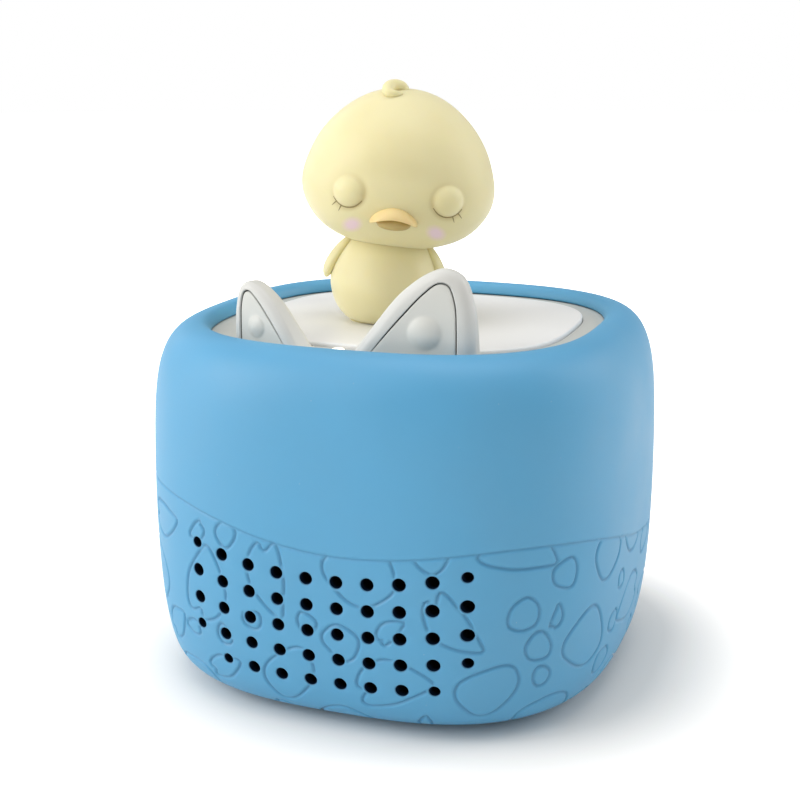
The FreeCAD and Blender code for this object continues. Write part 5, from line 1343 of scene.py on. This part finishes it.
# ---- Speaker and aerial -------------------------------------------------------------------------
# A full-range driver: a stamped basket, a paper cone on a rubber surround, a ferrite magnet and
# a copper voice coil. The flat aerial under the stand plate is wound of enamelled copper.
dressed("speaker_basket", "black_stamped_steel", (0.018, 0.018, 0.020), (0.034, 0.034, 0.036),
        (0.32, 0.46), (1200.0, 0.00003), 150.0, 0.1, Coat_Weight=0.2)
dressed("speaker_cone", "grey_cone_paper", (0.045, 0.044, 0.042), (0.085, 0.083, 0.080),
        (0.75, 0.9), (900.0, 0.00012), 500.0, 0.1)
dressed("speaker_surround", "soft_surround_rubber", (0.010, 0.010, 0.010), (0.020, 0.020, 0.020),
        (0.5, 0.65), (1600.0, 0.00003), 200.0, 0.2)
dressed("speaker_gasket", "closed_cell_foam", (0.020, 0.020, 0.021), (0.045, 0.045, 0.046),
        (0.85, 0.98), (1400.0, 0.00020), 900.0, 0.0)
dressed("speaker_magnet", "grey_ferrite", (0.055, 0.055, 0.058), (0.095, 0.095, 0.098),
        (0.5, 0.66), (1900.0, 0.00006), 320.0, 0.1)
dressed("stand_magnet figure_magnet", "nickel_plated_magnet", (0.60, 0.59, 0.56),
        (0.72, 0.71, 0.68), (0.18, 0.32), (1700.0, 0.00001), 300.0, 0.05, Metallic=1.0)
dressed("voice_coil aerial_coil", "enamelled_copper", (0.62, 0.23, 0.085), (0.78, 0.33, 0.14),
        (0.22, 0.36), (5200.0, 0.00003), 700.0, 0.05, Metallic=1.0, Coat_Weight=0.3)

# ---- Figure's base ---------------------------------------------------------------------------
# A vinyl disc is glued into the foot of the body. It closes the cup over the magnet and the
# film tag.
# Its darker ochre is painted shade, for the dark line where the figure meets the plate.
dressed("figure_base_cap", "ochre_base_vinyl", (0.560, 0.480, 0.220), (0.640, 0.560, 0.280),
        (0.45, 0.58), (2200.0, 0.00003), 160.0, 0.3)
dressed("figure_tag", "grey_tag_film", (0.22, 0.22, 0.24), (0.32, 0.32, 0.34), (0.3, 0.45),
        (1800.0, 0.00001), 260.0, 0.05)

# ---- Table ---------------------------------------------------------------------------------------
# A plain pale table top under the player. It glows a little for the camera alone, which keeps it
# nearly white. The glow is painted light, and where it fades, towards the player's foot, it paints
# shadow round the soft shadow that lies there.
table_top = bpy.data.meshes.new("table_top")
work = bmesh.new()
bmesh.ops.create_circle(work, cap_ends=True, segments=96, radius=3.0)
work.to_mesh(table_top)
work.free()
table = shown("table_top", table_top)
# The glow paints the shadow: low near the foot, kept longer on the right, lifted at the back, and
# brighter far away.
NEAR_GLOW, REAR_GLOW, FAR_GLOW = 0.36, 0.50, 0.35
NEAR_SPAN, REAR_SPAN, FAR_SPAN = (0.056, 0.080), (-0.025, 0.045), (0.078, 0.32)     # in metres
FOOTPRINT_POWER = 2.78              # the glow follows the rounded square under the player
GLOW_CENTRE = (0.009, 0.005, 0.0)   # the shadow is kept longer on the right
pale, tree, principled = plain_material("pale_table", Specular_IOR_Level=0.15)
spot = object_place(tree)
cloud = node(tree, "ShaderNodeTexNoise", {"Vector": spot, "Scale": 9.0,
                                          "Detail": 3.0}).outputs["Fac"]
tree.links.new(mixed(tree, cloud, (0.86, 0.83, 0.79), (0.90, 0.87, 0.83)),
               principled.inputs["Base Color"])
tree.links.new(ranged(tree, cloud, 0.0, 1.0, 0.75, 0.9), principled.inputs["Roughness"])
ray = node(tree, "ShaderNodeLightPath").outputs
seen = calc(tree, "MAXIMUM", ray["Is Camera Ray"], ray["Is Glossy Ray"])
seen = calc(tree, "MAXIMUM", seen, ray["Is Transmission Ray"])
off_centre = node(tree, "ShaderNodeVectorMath", {0: spot, 1: GLOW_CENTRE}, operation="SUBTRACT")
axes = node(tree, "ShaderNodeSeparateXYZ", {"Vector": off_centre.outputs["Vector"]}).outputs
powers = [calc(tree, "POWER", calc(tree, "ABSOLUTE", axes[axis]), FOOTPRINT_POWER)
          for axis in ("X", "Y")]
away = calc(tree, "POWER", calc(tree, "ADD", *powers), 1 / FOOTPRINT_POWER)
near = calc(tree, "MULTIPLY", ranged(tree, away, *NEAR_SPAN, 0.0, NEAR_GLOW),
            ranged(tree, axes["Y"], *REAR_SPAN, 1.0, 1.0 + REAR_GLOW))
glow = calc(tree, "ADD", near, ranged(tree, away, *FAR_SPAN, 0.0, FAR_GLOW))
shine = node(tree, "ShaderNodeEmission", {"Color": (1, 1, 1, 1),
                                          "Strength": calc(tree, "MULTIPLY", seen, glow)})
both = node(tree, "ShaderNodeAddShader", {0: principled.outputs[0], 1: shine.outputs[0]})
tree.links.new(both.outputs[0], tree.nodes["Material Output"].inputs["Surface"])
table_top.materials.append(pale)

# ---- Room and lamps ------------------------------------------------------------------------------
# A white room stands round the table. Large soft lamps hang on the left, above and on the right,
# and low ones on the left give the sleeve its soft sheen.
ROOM_LIGHT, ROOM_MIRRORED = 0.30, 0.4
room = bpy.data.worlds.new("white_room")
room.use_nodes = True
tree = room.node_tree
ray = node(tree, "ShaderNodeLightPath").outputs
seen = calc(tree, "MAXIMUM", ray["Is Camera Ray"], ray["Is Transmission Ray"])
mirrored = ranged(tree, ray["Is Glossy Ray"], 0.0, 1.0, ROOM_LIGHT, ROOM_MIRRORED)
background = tree.nodes["Background"]
background.inputs["Color"].default_value = (1, 1, 1, 1)
tree.links.new(ranged(tree, seen, 0.0, 1.0, mirrored, 1.0), background.inputs["Strength"])
bpy.context.scene.world = room


def aimed(name, data, place, aim):
    """Puts a lamp or camera at a place, and turns it to look at another."""
    holder = shown(name, data)
    holder.location = place
    holder.rotation_euler = (Vector(aim) - Vector(place)).to_track_quat("-Z", "Y").to_euler()
    return holder


for name, place, aim_height, wide, high, watts in (
        ("lamp_left", (-0.95, -0.8, 0.75), 0.06, 1.0, 0.9, 9.1),
        ("lamp_left_low", (-1.1, -0.55, 0.25), 0.06, 0.8, 0.45, 2.6),
        ("lamp_left_rear", (-1.1, 0.45, 0.6), 0.06, 0.9, 0.9, 2.6),
        ("lamp_right", (0.75, -0.85, 0.7), 0.08, 0.5, 0.8, 1.6),
        ("lamp_right_rear", (1.0, 0.65, 0.6), 0.08, 0.6, 0.8, 4.6),
        ("lamp_top", (0, 0, 1.3), 0.05, 1.2, 1.2, 7.8)):
    lamp = bpy.data.lights.new(name, "AREA")
    lamp.shape = "RECTANGLE"
    lamp.size, lamp.size_y, lamp.energy = wide, high, watts
    aimed(name, lamp, place, (0, 0, aim_height))

# ---- Camera --------------------------------------------------------------------------------------
# It looks down at the front from a little to the right, with a lens long enough to keep the
# sides nearly upright.
CAMERA_PLACE, CAMERA_AIM = (0.11888, -0.33313, 0.15578), (-0.00528, 0.00570, 0.06421)
lens = bpy.data.cameras.new("camera")
lens.lens = 63.55
bpy.context.scene.camera = aimed("camera", lens, CAMERA_PLACE, CAMERA_AIM)
bpy.context.scene.view_settings.view_transform = "Standard"
